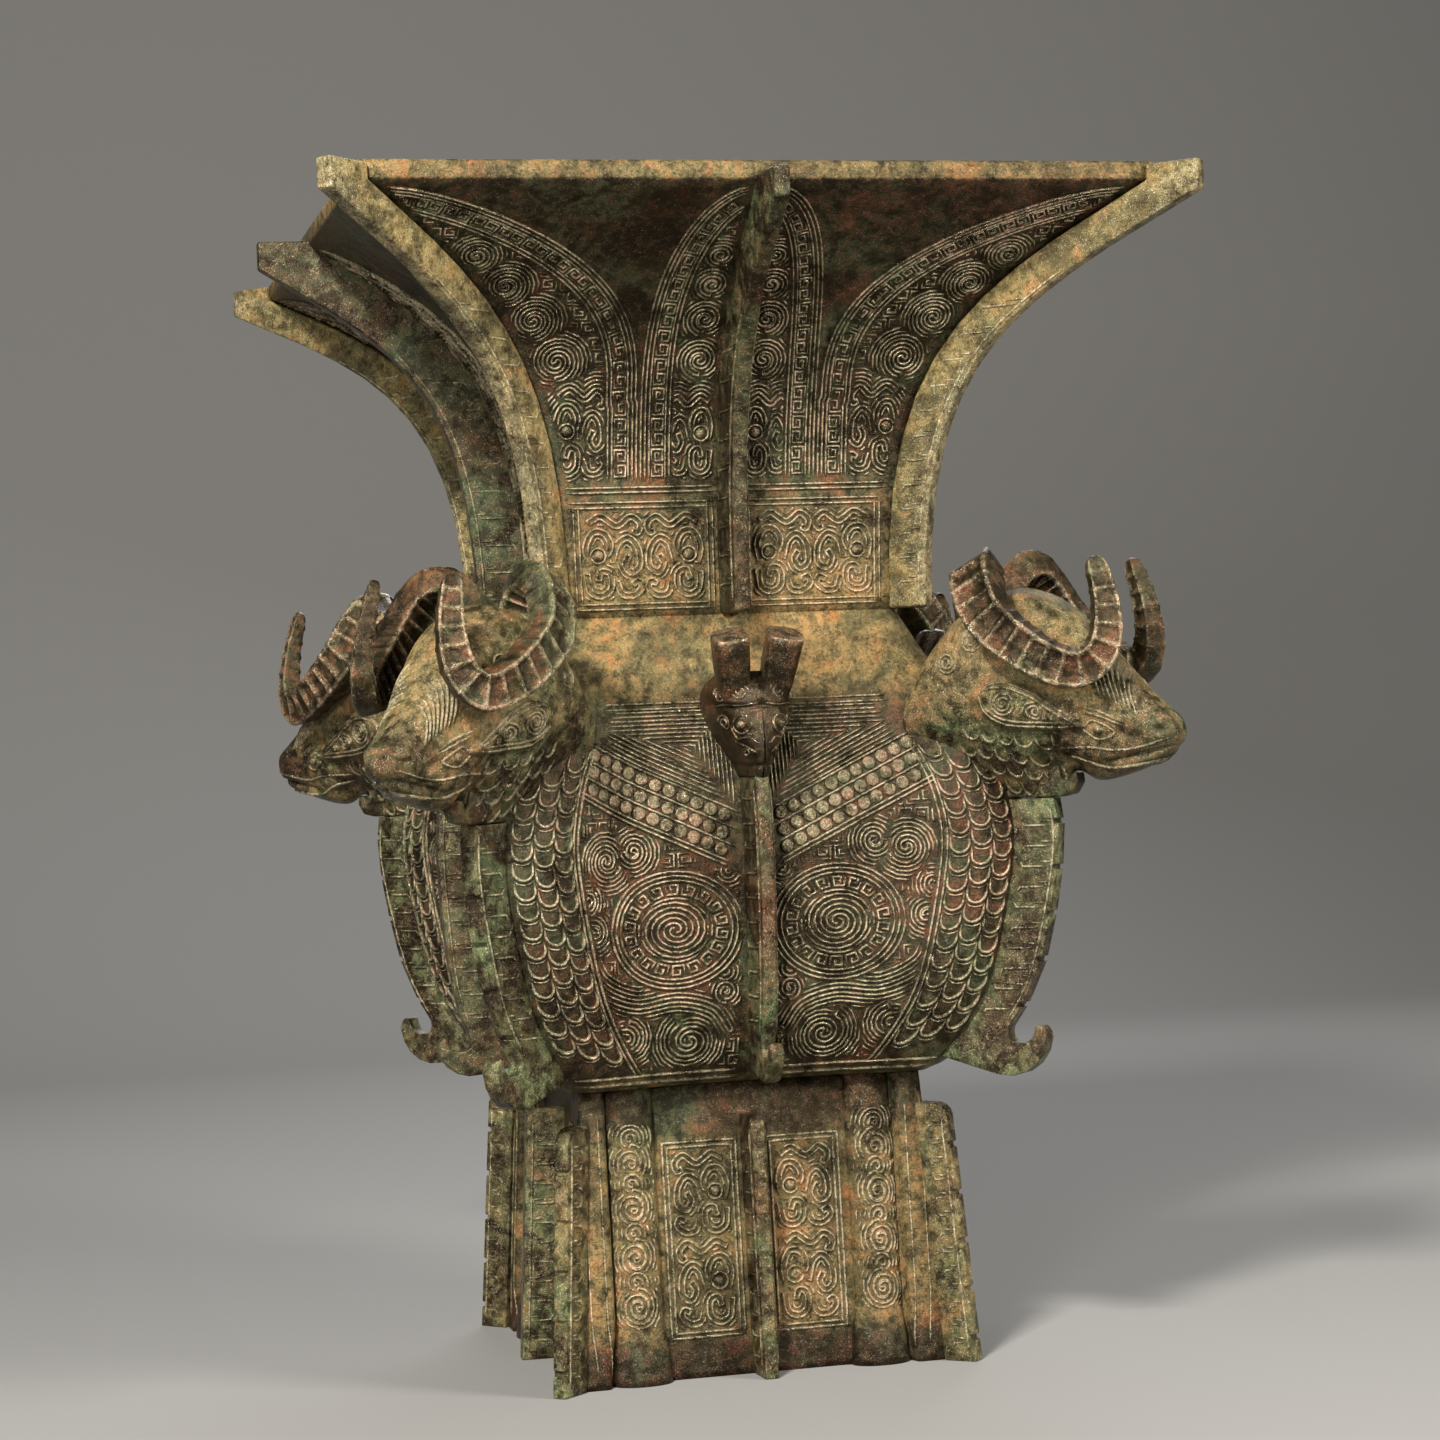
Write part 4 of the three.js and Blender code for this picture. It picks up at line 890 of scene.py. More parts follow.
for paths, wide, high in [(chest_scales, 1.5, 1.4), (scale_hearts, 0.9, 0.7),
                          (chest_lines + band_lines + low_edge[:1], 1.4, 1.2), (bold + whorl, 1.25, 1.25),
                          (ground + low_edge[1:], 1.1, 1.05)]:
    press(belly_mesh, on_belly, paths, wide, high)
four_faces(belly_mesh)
finished(belly_mesh, "belly", bronze_body, belly_soil)
belly_mesh.free()

# The neck: a square bronze trumpet that stands in a seat in the belly. It has a banded panel of beasts
# at the bottom and tall pointed leaves along its flanges. The metal between the leaves is plain.
RIM_Z, RIM_HALF, RIM_BAND, RIM_LEDGE = 583.0, 191.7, 9.5, 9.0
FLARE_RISE, FLARE_LOW, FLARE_HIGH = math.radians(31.4), 128, 82
LEAF_FOOT, LEAF_MEET = 66.0, 0.24
LEAF_ROOT, CORNER_ROOT, LEAF_BORDER = 7.5, 9.5, 17
BORDER_LINES, MEANDER_AT, MEANDER_PITCH = (1.1, 3.2, 5.3, 13.4, 15.5), 9.35, 7.6


def flare(base_half, top_half, top_z, count=36):
    """The curve of the neck from its seam to its rim, as half a width and a height."""
    t = np.linspace(0, 1, count)[:, None]
    base, top_end = np.array([base_half, NECK_Z]), np.array([top_half, top_z])
    low = base + (0, FLARE_LOW)
    high = top_end - FLARE_HIGH * np.array([math.cos(FLARE_RISE), math.sin(FLARE_RISE)])
    return base * (1 - t) ** 3 + 3 * low * t * (1 - t) ** 2 + 3 * high * t * t * (1 - t) + top_end * t ** 3


def square_ring(half, z, count=14):
    return [(half, y, z) for y in np.linspace(0, half, count)]


outer = flare(NECK_HALF, RIM_HALF, RIM_Z - RIM_BAND)
bore = flare(NECK_HALF - WALL, RIM_HALF - RIM_LEDGE, RIM_Z, 20)
rings = [square_ring(half, z) for half, z in outer]
neck_face = mould(rings, 60)
on_neck = partial(on_mould, neck_face)
rings += [square_ring(RIM_HALF + 0.6, RIM_Z - RIM_BAND + 1.2), square_ring(RIM_HALF + 0.6, RIM_Z - 1.6)]
rings += [square_ring(RIM_HALF - 1.2, RIM_Z), square_ring(RIM_HALF - RIM_LEDGE + 1.5, RIM_Z)]
rings += [square_ring(half, z) for half, z in bore[::-1]] + [square_ring(NECK_HALF, NECK_Z)]
neck_mesh = bmesh.new()
shell(neck_mesh, rings)
LEAF_TIP = neck_face["rise"][-1] - 3


def neck_reach(b):
    return np.interp(b, neck_face["rise"], neck_face["reach"])


def leaf_share(b):
    """0 where two leaves part, 1 at their tips."""
    return np.clip((((b - LEAF_FOOT) / (LEAF_TIP - LEAF_FOOT)) - LEAF_MEET) / (1 - LEAF_MEET), 0, 1)


def mid_leaf(b):
    """Half the width of the leaf along the flange in the middle of a face."""
    return 5.5 + (0.465 * neck_reach(LEAF_FOOT + 30) - 5.5) * np.sqrt(1 - leaf_share(b) ** 2.4)


def corner_leaf(b):
    """The width of the half leaf along the corner."""
    x = leaf_share(b)
    start = neck_reach(b) - mid_leaf(b)
    full = 7.8 + (46.5 + 22 * np.sin(math.pi * 0.75 * x)) * np.sqrt(1 - x ** 3)
    return np.where(x > 0, np.minimum(full, start), start)


def in_mid(x, y, inset=0.0, foot=LEAF_FOOT):
    return (x > LEAF_ROOT) & (x < mid_leaf(y) - inset) & (y > foot)


def in_corner(x, y, inset=0.0, foot=LEAF_FOOT):
    return (x > neck_reach(y) - corner_leaf(y) + inset) & (x < neck_reach(y) - CORNER_ROOT) & (y > foot)


def in_leaf(x, y):
    return in_mid(x, y) | in_corner(x, y)


def deep(x, y):
    """Inside the borders of the leaves."""
    foot = LEAF_FOOT + 1.5
    return in_mid(x, y, LEAF_BORDER, foot) | in_corner(x, y, LEAF_BORDER, foot)


def neck_soil(out, z):
    return 0.22 + 0.34 * ramp(z, 470, 390) + 0.28 * ramp(z, 573, 575)


b = np.linspace(LEAF_FOOT, LEAF_TIP, 90)
mid_edge = np.c_[mid_leaf(b), b]
corner_edge = np.c_[neck_reach(b) - corner_leaf(b), b]
leaf_room = Room()
borders, meanders = [], []
for line, side, inside in [(mid_edge, 1, in_mid), (corner_edge, -1, in_corner)]:
    borders += leaf_room.draw([beside(line, side * gap) for gap in BORDER_LINES], inside, 1.2)
    middle = beside(line, side * MEANDER_AT)
    run = run_of(middle)
    for at in np.arange(6, run[-1] - 8, MEANDER_PITCH):
        spot, next_spot = points_at(middle, run, at), points_at(middle, run, at + 1)
        way = (next_spot - spot) / np.linalg.norm(next_spot - spot)
        unit = key(-2.8, -2.8, 5.6, 5.6, 1.9, 1 if int(at / MEANDER_PITCH) % 2 else -1)
        meanders.append(spot + unit[:, :1] * way + unit[:, 1:] * np.array([-way[1], way[0]]))
meanders = leaf_room.draw(meanders, in_leaf, 1.2, 2.0)
mid_beast, mid_eye = beast(8, LEAF_FOOT + 3, 23, 42)
corner_beast, corner_eye = beast(61, LEAF_FOOT + 3, 27, 46, -1)
eyes = leaf_room.draw([ring(*mid_eye, 3.8), ring(*corner_eye, 3.8)], deep)
bands = mid_beast + corner_beast
for at, size in [(0.36, 7.0), (0.49, 6.4), (0.61, 5.6), (0.72, 4.4)]:
    y = LEAF_FOOT + at * (LEAF_TIP - LEAF_FOOT)
    bands.append(coil(9 + size, y, size, 1.6, 270, 1))
    bands.append(coil(neck_reach(y) - 12.5 - size * 1.3, y, size * 1.3, 1.8, 270, -1))
bold, ground = filled(bands, 1.15, deep, (7, 190, LEAF_FOOT, LEAF_TIP), leaf_room)
panel_lines = []
for y in (4.0, 6.6, 54.0, 56.6, 61.5, 63.9):
    panel_lines.append(np.array([(7.5, y), (neck_reach(y) - 9, y)]))
for x in (8.0, 10.6):
    panel_lines.append(np.array([(x, 4), (x, 56.6)]))
    panel_lines.append(np.array([(neck_reach(20) - 1.5 - x, 4), (neck_reach(40) - 1.5 - x, 56.6)]))
in_panel = inside_box(12.4, 74, 8.4, 52.2)
first, first_eye = beast(13, 9, 30, 43)
second, second_eye = beast(43, 9, 31, 43, -1)
band_room = Room()
eyes += band_room.draw([ring(*first_eye, 3.8), ring(*second_eye, 3.8)], in_panel)
band_bold, band_ground = filled(first + second, 1.3, in_panel, (12, 76, 8, 54), band_room)
for paths, wide, high in [(bold + eyes + band_bold, 1.2, 1.3), (borders + panel_lines, 1.1, 1.05),
                          (meanders + ground + band_ground, 1.05, 1.0)]:
    press(neck_mesh, on_neck, paths, wide, high)
for eye in (mid_eye, corner_eye, first_eye, second_eye):
    boss(neck_mesh, on_neck, *eye, 2.9, 2.2)
four_faces(neck_mesh)
finished(neck_mesh, "neck", bronze_body, neck_soil)
neck_mesh.free()

# The flanges: bronze fins let into grooves down the middle of each face and down each corner, where
# they hide the seams of the mould. They narrow towards their edges, which are notched on the chests
# and on the corners of the foot, and short lines mark their sides.
SIDES = {"front": -90, "right": 0, "back": 90, "left": 180}
CORNERS = {"front_right": -45, "back_right": 45, "back_left": 135, "front_left": -135}
DIAGONAL = math.sqrt(2)
NOTCH_DEPTH, FIN_BEVEL, FIN_EDGE, SHADED_SIDE_RELIEF = 1.8, 1.2, 1.5, 0.25
RUNG_WIDE, RUNG_HIGH = 1.3, 0.7
bronze_flange = bronze("bronze_flange", green=0.9, red=0.6, wear_and_painted_light=0.35)
bronze_edge = bronze("bronze_edge", green=0.9, red=0.35, wear_and_painted_light=0.75)


def join(bm, other):
    """Moves all of another mesh into this one."""
    mesh = bpy.data.meshes.new("joined")
    other.to_mesh(mesh)
    other.free()
    bm.from_mesh(mesh)
    bpy.data.meshes.remove(mesh)


def rounded(bm, edges, offset, clamped=False):
    """Takes the sharpness off edges, by so many millimetres."""
    bmesh.ops.bevel(bm, geom=edges, offset=offset * MM, affect="EDGES", segments=3, profile=0.5, material=-1,
                    clamp_overlap=clamped)


def face_at(z):
    return np.interp(z, belly_z, belly_face["skin"][:, 0, 0])


def chest_at(z):
    return np.interp(z, belly_z, belly_face["skin"][:, -1, 0]) * DIAGONAL


def neck_at(z):
    return np.interp(z, outer[:, 1], outer[:, 0])


def neck_corner_at(z):
    return neck_at(z) * DIAGONAL


def neck_flange_edge(z):
    line = flare(NECK_HALF + 25.5, RIM_HALF + 26, RIM_Z - 21)
    return np.interp(z, line[:, 1], line[:, 0])


def neck_corner_edge(z):
    line = flare(NECK_HALF + 18 / DIAGONAL, RIM_HALF + 24 / DIAGONAL, RIM_Z - 16)
    return np.interp(z, line[:, 1], line[:, 0]) * DIAGONAL


def foot_at(z):
    return FOOT_HALF + (FOOT_TOP_HALF - FOOT_HALF) * np.asarray(z) / FOOT_HEIGHT


def foot_corner_at(z):
    return (foot_at(z) + CORNER_RISE) * DIAGONAL


def fin(node, turned, half, taper, notched, edge_wear_and_highlight, root, edge, marks):
    """A copy of a flange laid along X, drawn in towards its edge, with lines pressed on both sides. Where
    it isn't notched, the notches of the copy are closed."""

    def side(x, z):
        return half * (1 - taper * np.clip((x - root(z)) / (edge(z) - root(z)), 0, 1))

    def on_side(flat):
        return np.c_[flat[:, 0], side(flat[:, 0], flat[:, 1]) + flat[:, 2], flat[:, 1]]

    bm = bmesh.new()
    bm.from_mesh(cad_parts[node].data)
    laid = Matrix.Rotation(math.radians(-turned), 3, "Z")
    bmesh.ops.rotate(bm, cent=(0, 0, 0), matrix=laid, verts=bm.verts)
    bmesh.ops.remove_doubles(bm, verts=bm.verts, dist=1e-5)
    bmesh.ops.dissolve_limit(bm, angle_limit=math.radians(2), verts=bm.verts, edges=bm.edges)
    if not notched:
        notch = Vector((NOTCH_DEPTH * MM, 0, 0))
        tips = {}
        for v in bm.verts:
            for other in bm.verts:
                if (other.co - v.co - notch).length < 0.1 * MM:
                    tips[v] = other
        bmesh.ops.weld_verts(bm, targetmap=tips)
    for v in bm.verts:
        v.co.y *= side(v.co.x / MM, v.co.z / MM) / half
    sharp = [e for e in bm.edges if len(e.link_faces) == 2 and e.calc_face_angle() > math.radians(35)]
    rounded(bm, sharp, FIN_BEVEL, clamped=True)
    # Painted shade on the flange sides: their low relief darkens them through the patina. The edge takes wear
    # with painted highlight.
    wear_and_painted_light = bm.verts.layers.float.new("relief")
    for v in bm.verts:
        at_edge = v.co.x / MM > edge(v.co.z / MM) - FIN_EDGE
        v[wear_and_painted_light] = edge_wear_and_highlight if at_edge else SHADED_SIDE_RELIEF
    lines = bmesh.new()
    press(lines, on_side, marks, RUNG_WIDE, RUNG_HIGH)
    both_sides(lines)
    join(bm, lines)
    return bm


def ladder(root, edge, low, high, pitch):
    """Marks up the side of a flange: a line along its edge, and hooked bars in towards its root."""
    z = np.linspace(low, high, 40)
    marks = [np.c_[edge(z) - 3.2, z]]
    for n, at in enumerate(np.arange(low + pitch * 0.6, high - pitch * 0.4, pitch)):
        near, far_end = root(at) + 3, edge(at) - 5.5
        hook = at + (3.0 if n % 2 else -3.0)
        marks.append(np.array([(far_end, at), (near + 2, at), (near, hook), (near + 4, hook)]))
        marks.append(np.array([(edge(at + 2.2) - 3.2, at + 2.2), (far_end - 4, at + 2.2)]))
    return marks


def fins(kind, half, taper, edge_wear_and_highlight, root, edge, rungs, soil):
    """A set of flanges of one kind, made once and turned to each of its places."""
    corner = kind in ("neck_corner_flange", "chest_flange", "foot_corner_flange")
    places = CORNERS if corner else SIDES
    material, slot = (bronze_edge, "bronze_edge") if corner else (bronze_flange, "bronze_flange")
    first = next(iter(places))
    marks = ladder(root, edge, *rungs)
    bm = fin(f"{kind}_{first}", places[first], half, taper, corner, edge_wear_and_highlight, root, edge, marks)
    for where, degrees in places.items():
        finished(bm, f"{kind}_{where}", material, soil, degrees)
    bm.free()


fins("neck_flange", half=5.5, taper=0.3, edge_wear_and_highlight=0.2, root=neck_at, edge=neck_flange_edge,
     rungs=(NECK_Z + 6, 520, 14), soil=0.1)
fins("neck_corner_flange", half=5.5, taper=0.25, edge_wear_and_highlight=0.7, root=neck_corner_at, edge=neck_corner_edge,
     rungs=(NECK_Z + 6, 535, 12), soil=0.6)
fins("belly_flange", half=5.5, taper=0.35, edge_wear_and_highlight=0.35, root=face_at, edge=lambda z: face_at(z) + 25,
     rungs=(170, 292, 12), soil=0.15)
fins("chest_flange", half=6.0, taper=0.3, edge_wear_and_highlight=0.55, root=chest_at, edge=lambda z: chest_at(z) + 23,
     rungs=(170, 276, 10), soil=0.22)
fins("foot_flange", half=5.0, taper=0.3, edge_wear_and_highlight=0.5, root=foot_at, edge=lambda z: foot_at(z) + 19,
     rungs=(4, 122, 10), soil=0.35)
fins("foot_corner_flange", half=5.0, taper=0.25, edge_wear_and_highlight=0.55, root=foot_corner_at,
     edge=lambda z: foot_corner_at(z) + 15, rungs=(4, 122, 9), soil=0.4)

# The ram heads: bronze, cast first and set on the chests by tenons. A sloping face, a narrow muzzle,
# flat leaf ears drawn with spirals, small round eyes, and a hooked tuft under the throat.
HEAD_Z, HEAD_FOOT = 333.0, CHEST_HALF * DIAGONAL
EAR_TIP, EAR_BACK, EAR_HIGH = np.array([46.5, -19.5]), np.array([-4.0, -2.0]), 3.6
EAR_RUN, EAR_HALF = [0, 10, 28, 37, 45, 50, 53], [0.5, 4.2, 9.2, 10.6, 9.0, 5.4, 0.1]
SQUARENESS, HEAD_RELIEF, CHEEK_COLUMN = 2 / 2.4, 0.4, 45
TUFT_Z, TUFT_HALF, TUFT_BEVEL = HEAD_Z - 53.5, 5, 1.3
TUFT = [(-12, 16), (-12, 0.2), (24, 0), (31, 1.5), (34.5, 7), (34, 12), (30.5, 11.5), (28.5, 7.5), (25.5, 9),
        (25, 16)]
head_stations = flow([(-47, -38, 4, 29), (-33, -42, 26, 31), (-14, -48, 44, 32), (6, -53, 49.5, 31),
                      (17, -53.5, 47.5, 27.5), (25, -47, 44, 25.5), (33, -41, 38, 24.5),
                      (45, -46, 25.5, 21.5), (60, -43.5, 8.5, 16), (72, -39.5, -3.5, 13.5),
                      (82, -35, -13, 11.5), (87.5, -29, -21, 6), (88.5, -26, -25, 0.5)], 8)


def head_ring(station):
    """Half a section of the head, from the ridge of its nose round to its throat."""
    out, low, high, half = station
    middle, tall = (low + high) / 2, (high - low) / 2
    throat = 0.38 * ramp(out, 33, 25)
    points = []
    for degrees in np.linspace(90, -90, 50):
        a = math.radians(degrees)
        side = abs(math.cos(a)) ** SQUARENESS
        rise = math.copysign(abs(math.sin(a)) ** SQUARENESS, math.sin(a))
        taper = 1 + 0.16 * math.sin(a) + throat * min(math.sin(a), 0)
        points.append((HEAD_FOOT + out, half * side * taper, HEAD_Z + middle + tall * rise))
    return points


head_face = mould([head_ring(station) for station in head_stations[::-1]], 90)
head_out = head_face["out"]
head_x, head_y, head_z = np.moveaxis(head_face["skin"] - (HEAD_FOOT, 0, HEAD_Z), -1, 0)


def swell(cx, cz, wide, tall, high, tilt=0.0):
    """A soft rise on the side of the head."""
    u = (head_x - cx) * math.cos(tilt) + (head_z - cz) * math.sin(tilt)
    v = (head_z - cz) * math.cos(tilt) - (head_x - cx) * math.sin(tilt)
    return high * np.exp(-((u / wide) ** 2) - (v / tall) ** 2)


ear_way = (EAR_BACK - EAR_TIP) / np.linalg.norm(EAR_BACK - EAR_TIP)
ear_side = np.array([-ear_way[1], ear_way[0]])
along = (head_x - EAR_TIP[0]) * ear_way[0] + (head_z - EAR_TIP[1]) * ear_way[1]
across = (head_x - EAR_TIP[0]) * ear_side[0] + (head_z - EAR_TIP[1]) * ear_side[1]
ear = EAR_HIGH / (1 + np.exp((np.abs(across) - np.interp(along, EAR_RUN, EAR_HALF)) / 0.45))
ear = ear * ((along > 0) & (along < 53.5) & (head_y > 4))
carve = ear + ramp(head_y, 0, 6) * (
    swell(53.5, -21.5, 5.0, 3.4, 2.4) + swell(52, -14.0, 10, 2.2, 1.9, -0.4)
    + swell(64, -24.5, 9, 2.2, -1.3, -0.3) + swell(82, -22.5, 2.4, 2.0, -2.2)
    + swell(74, -33.5, 16, 1.0, -2.4, 0.2) + swell(46, -32, 9, 5, 1.6) + swell(25, -40, 15, 8, -5.5, 0.15)
    + swell(84, -20, 4, 6, 1.0) + swell(68, -37.5, 14, 1.4, 1.2, 0.2))
head_face["skin"] = head_face["skin"] + carve[..., None] * head_out


def on_head(flat):
    """Bends lines drawn on the side view of the head, as (out, up), over its cheek."""
    rows = head_face["skin"]
    ring_x = rows[:, CHEEK_COLUMN, 0] - HEAD_FOOT
    place = np.empty((len(flat), 3))
    for n, (px, pz, high) in enumerate(flat):
        k = np.interp(-px, -ring_x, np.arange(len(ring_x)))
        i = min(int(k), len(ring_x) - 2)
        band = rows[i] * (1 - k + i) + rows[i + 1] * (k - i)
        j = np.interp(-(pz + HEAD_Z), -band[:, 2], np.arange(band.shape[0]))
        m = min(int(j), band.shape[0] - 2)
        spot = band[m] * (1 - j + m) + band[m + 1] * (j - m)
        place[n] = spot + high * head_out[i, m]
    return place


def head_soil(out, z):
    crown, cheek = ramp(z, HEAD_Z - 22, HEAD_Z - 2), ramp(out, HEAD_FOOT + 30, HEAD_FOOT + 38)
    return 0.28 + 0.22 * crown + 0.12 * cheek - 0.16 * ramp(out, HEAD_FOOT + 60, HEAD_FOOT + 72)


lines = []
for inset in (0.7, 2.9):
    t = np.array([4, 10, 20, 28, 37, 45, 50, 53 - inset])
    h = np.maximum(np.interp(t, EAR_RUN, EAR_HALF) - inset, 0.2)
    rim = np.vstack([np.c_[t, h], np.c_[t, -h][::-1]])
    lines.append(flow(EAR_TIP + rim[:, :1] * ear_way + rim[:, 1:] * ear_side, 5))
for at, size, turns, start, hand in [(39, 6.9, 3.0, 30, 1), (25, 5.0, 2.3, 200, -1), (14, 3.0, 1.6, 30, 1)]:
    lines.append(coil(*(EAR_TIP + ear_way * at), size, turns, start, hand))
lines += [flow(drawn, 6) for drawn in [
    [(45.5, -21), (51, -16.8), (60, -22.8), (53, -26), (45.5, -21)],
    [(63, -18), (54, -12.5), (44, -9.5)],
    [(64, -20), (54, -15), (46, -12)],
    [(85, -26.5), (72, -30), (60, -31.5), (47, -29.5), (30, -29.5)],
    [(83, -36), (68, -38.8), (54, -39.5), (42, -35), (30, -32.5)]]]
for shift in np.arange(0, 19, 2.6):
    brow = [(45 + shift, 24.5 - shift), (50 + shift, 10 - shift), (55 + shift * 0.9, -6 - shift * 0.55)]
    lines.append(flow(brow, 6))
for row, cz in enumerate((-22, -30, -38, -46)):
    for column in range(5):
        lines.append(scale(24 - 9 * column - 4 * (row % 2), cz + 1.6 * column, 7.8, 8.6, (0.15, -1)))
for cx, cz, size, hand in [(-6, 24, 7, 1), (10, 26, 6, -1), (24, 20, 5.5, 1), (-20, 14, 5.5, -1),
                           (36, 13, 4.5, -1)]:
    lines.append(coil(cx, cz, size, 2.2, 0, hand))
lines = Room().draw(lines, lambda x, y: np.ones(len(x), bool), 1.2)
head_mesh = bmesh.new()
rings = [list(map(tuple, band)) for band in head_face["skin"]]
tip = [(HEAD_FOOT + 89.2, 0, HEAD_Z - 25.5)] * len(rings[0])
root = [(HEAD_FOOT - 50, 0, HEAD_Z - 17)] * len(rings[0])
shell(head_mesh, [tip] + rings + [root])
press(head_mesh, on_head, lines, 1.2, 1.1, 0.8)
boss(head_mesh, on_head, 53, -21.3, 2.5, 1.3)
both_sides(head_mesh)
# A floor on the relief of the head keeps its painted shade light on the plain skin.
wear_and_painted_light = head_mesh.verts.layers.float["relief"]
for v in head_mesh.verts:
    v[wear_and_painted_light] = max(v[wear_and_painted_light], HEAD_RELIEF)
tuft = [head_mesh.verts.new(Vector((HEAD_FOOT + out, -TUFT_HALF, TUFT_Z + up)) * MM) for out, up in TUFT]
made = bmesh.ops.extrude_face_region(head_mesh, geom=[head_mesh.faces.new(tuft)])["geom"]
bmesh.ops.translate(head_mesh, vec=(0, 2 * TUFT_HALF * MM, 0), verts=only(BMVert, made))
tuft += only(BMVert, made)
bmesh.ops.recalc_face_normals(head_mesh, faces=list({face for v in tuft for face in v.link_faces}))
rounded(head_mesh, list({edge for v in tuft for edge in v.link_edges}), TUFT_BEVEL)
bronze_head = bronze("bronze_head", green=0.9, red=0.7, wear_and_painted_light=0.5)
for corner, degrees in CORNERS.items():
    finished(head_mesh, f"ram_head_{corner}", bronze_head, head_soil, degrees)
head_mesh.free()

# The horns: solid bronze, cast in one curl each and plugged into the head by a round tenon. Raised
# ribs cross their broad faces at even steps between two rims, and the tips turn up.
HORN_PATH = flow([(-10, 11, 36), (-8, 19, 52), (-3, 29, 57.5), (1, 38, 50), (11, 43.5, 33), (33, 40, 15),
                  (51, 33, 8.5), (61, 27.5, 18.5), (61.5, 24, 38.5), (55.5, 22, 62)], 12)
HORN_WIDE, HORN_DEEP, HORN_RIBS, PER_RIB = 11.6, 7.5, 20, 8
RIB_SHAPE = (1, 0.85, 0.2, 0, 0, 0, 0, 0.2)
HORN_NARROWS, HORN_SUNK, ROUND_FROM, HORN_SOIL = 0.62, 1.9, 0.97, 0.3
run = run_of(HORN_PATH)
spine = points_at(HORN_PATH, run, np.linspace(0, run[-1], HORN_RIBS * PER_RIB + 1)) + (HEAD_FOOT, 0, HEAD_Z)
tangent = np.gradient(spine, axis=0)
tangent /= np.linalg.norm(tangent, axis=1)[:, None]
ways = [np.eye(3)[np.abs(tangent[0]).argmin()]]
for way in tangent:
    level_way = ways[-1] - way * (ways[-1] @ way)
    ways.append(level_way / np.linalg.norm(level_way))
first_way = np.array(ways[1:])
second_way = np.cross(tangent, first_way)
middle = len(spine) // 2
side_turn = math.atan2(first_way[middle, 1], second_way[middle, 1])
wide_way = first_way * math.cos(side_turn) - second_way * math.sin(side_turn)
deep_way = second_way * math.cos(side_turn) + first_way * math.sin(side_turn)


def horn_size(n):
    """How thick the horn is at a point of its spine, as a share of its root."""
    return 1 - HORN_NARROWS * (n / (len(spine) - 1)) ** 2


face_line = [(0.97, 0.92), (0.9, 1), (0.78, 1), (0.69, 0), (0.35, 0), (0, 0)]
face_line += [(-c, rim) for c, rim in face_line[-2::-1]]
horn_rings = []
for n, spot in enumerate(spine):
    size, rib = horn_size(n), RIB_SHAPE[n % PER_RIB]
    past = max(0.0, (n / (len(spine) - 1) - ROUND_FROM) / (1 - ROUND_FROM))
    close = math.sqrt(max(0.0, 1 - past ** 2))
    loop = []
    for side in (1, -1):
        for c, rim in face_line:
            deep_by = HORN_DEEP * size - HORN_SUNK * size * (1 - max(rim, rib)) + 0.5 * rib
            loop.append((side * c * HORN_WIDE * size, side * deep_by))
        for s in (0.7, 0.25, -0.25, -0.7):
            loop.append((-side * (HORN_WIDE * size + 0.6 * rib), side * s * HORN_DEEP * size))
    loop.append(loop[0])
    offsets = [wide * wide_way[n] + thick * deep_way[n] for wide, thick in loop]
    horn_rings.append([tuple(spot + close * offset) for offset in offsets])
horn_mesh = bmesh.new()
shell(horn_mesh, [[tuple(spine[0])] * len(horn_rings[0])] + horn_rings)
bmesh.ops.remove_doubles(horn_mesh, verts=horn_mesh.verts, dist=WELD)
bmesh.ops.recalc_face_normals(horn_mesh, faces=horn_mesh.faces)
# The rims and ribs take wear with painted highlight. The sunk panels and narrow sides take painted shade
# through their low relief.
wear_and_painted_light = horn_mesh.verts.layers.float.new("relief")
for v in horn_mesh.verts:
    spot = np.array(v.co) / MM
    nearest = np.argmin(((spine - spot) ** 2).sum(axis=1))
    stands = abs((spot - spine[nearest]) @ deep_way[nearest]) / (HORN_DEEP * horn_size(nearest))
    v[wear_and_painted_light] = np.clip((stands - 0.74) / 0.25, 0, 0.85)
bronze_horn = bronze("bronze_horn", green=0.6, red=0.9, wear_and_painted_light=0.45, grain=0.9)
other_horn = horn_mesh.copy()
bmesh.ops.scale(other_horn, vec=(1, -1, 1), verts=other_horn.verts)
bmesh.ops.reverse_faces(other_horn, faces=other_horn.faces)
side_names = list(SIDES)
for n, (corner, degrees) in enumerate(CORNERS.items()):
    for bm, side in [(horn_mesh, side_names[(n + 1) % 4]), (other_horn, side_names[n])]:
        finished(bm, f"ram_horn_{corner}_by_{side}", bronze_horn, HORN_SOIL, degrees)
horn_mesh.free()
other_horn.free()

# The dragon heads: a small beast's face on the middle of each shoulder with two blunt bottle horns,
# cast apart in bronze and let into the belly by a tenon behind.
DRAGON_Z, DRAGON_BACK, EYE_UP, DRAGON_SOIL = 296.5, BELLY_HALF - 10, 25, 0.26
HORN_TALL, HORN_FOOT, HORN_HEAD, HORN_BEVEL = 39.0, 8.4, 9.4, 1.7
HORN_AT, HORN_OUT, HORN_BACK = (BELLY_HALF + 8, 9, DRAGON_Z + 33), -0.14, 0.42
dragon_stations = flow([(0, 21, 6), (8, 26, 9.5), (21, 25.5, 17), (33, 24, 21), (42, 20, 20),
                        (49, 12, 14)], 10)
dragon_rings = []
for up, out, half in dragon_stations:
    loop = []
    for a in np.linspace(0, math.pi, 60):
        loop.append((DRAGON_BACK + (out + 10) * math.cos(a), half * math.sin(a), DRAGON_Z + up))
    dragon_rings.append(loop)
dragon_face = mould(dragon_rings, 70)
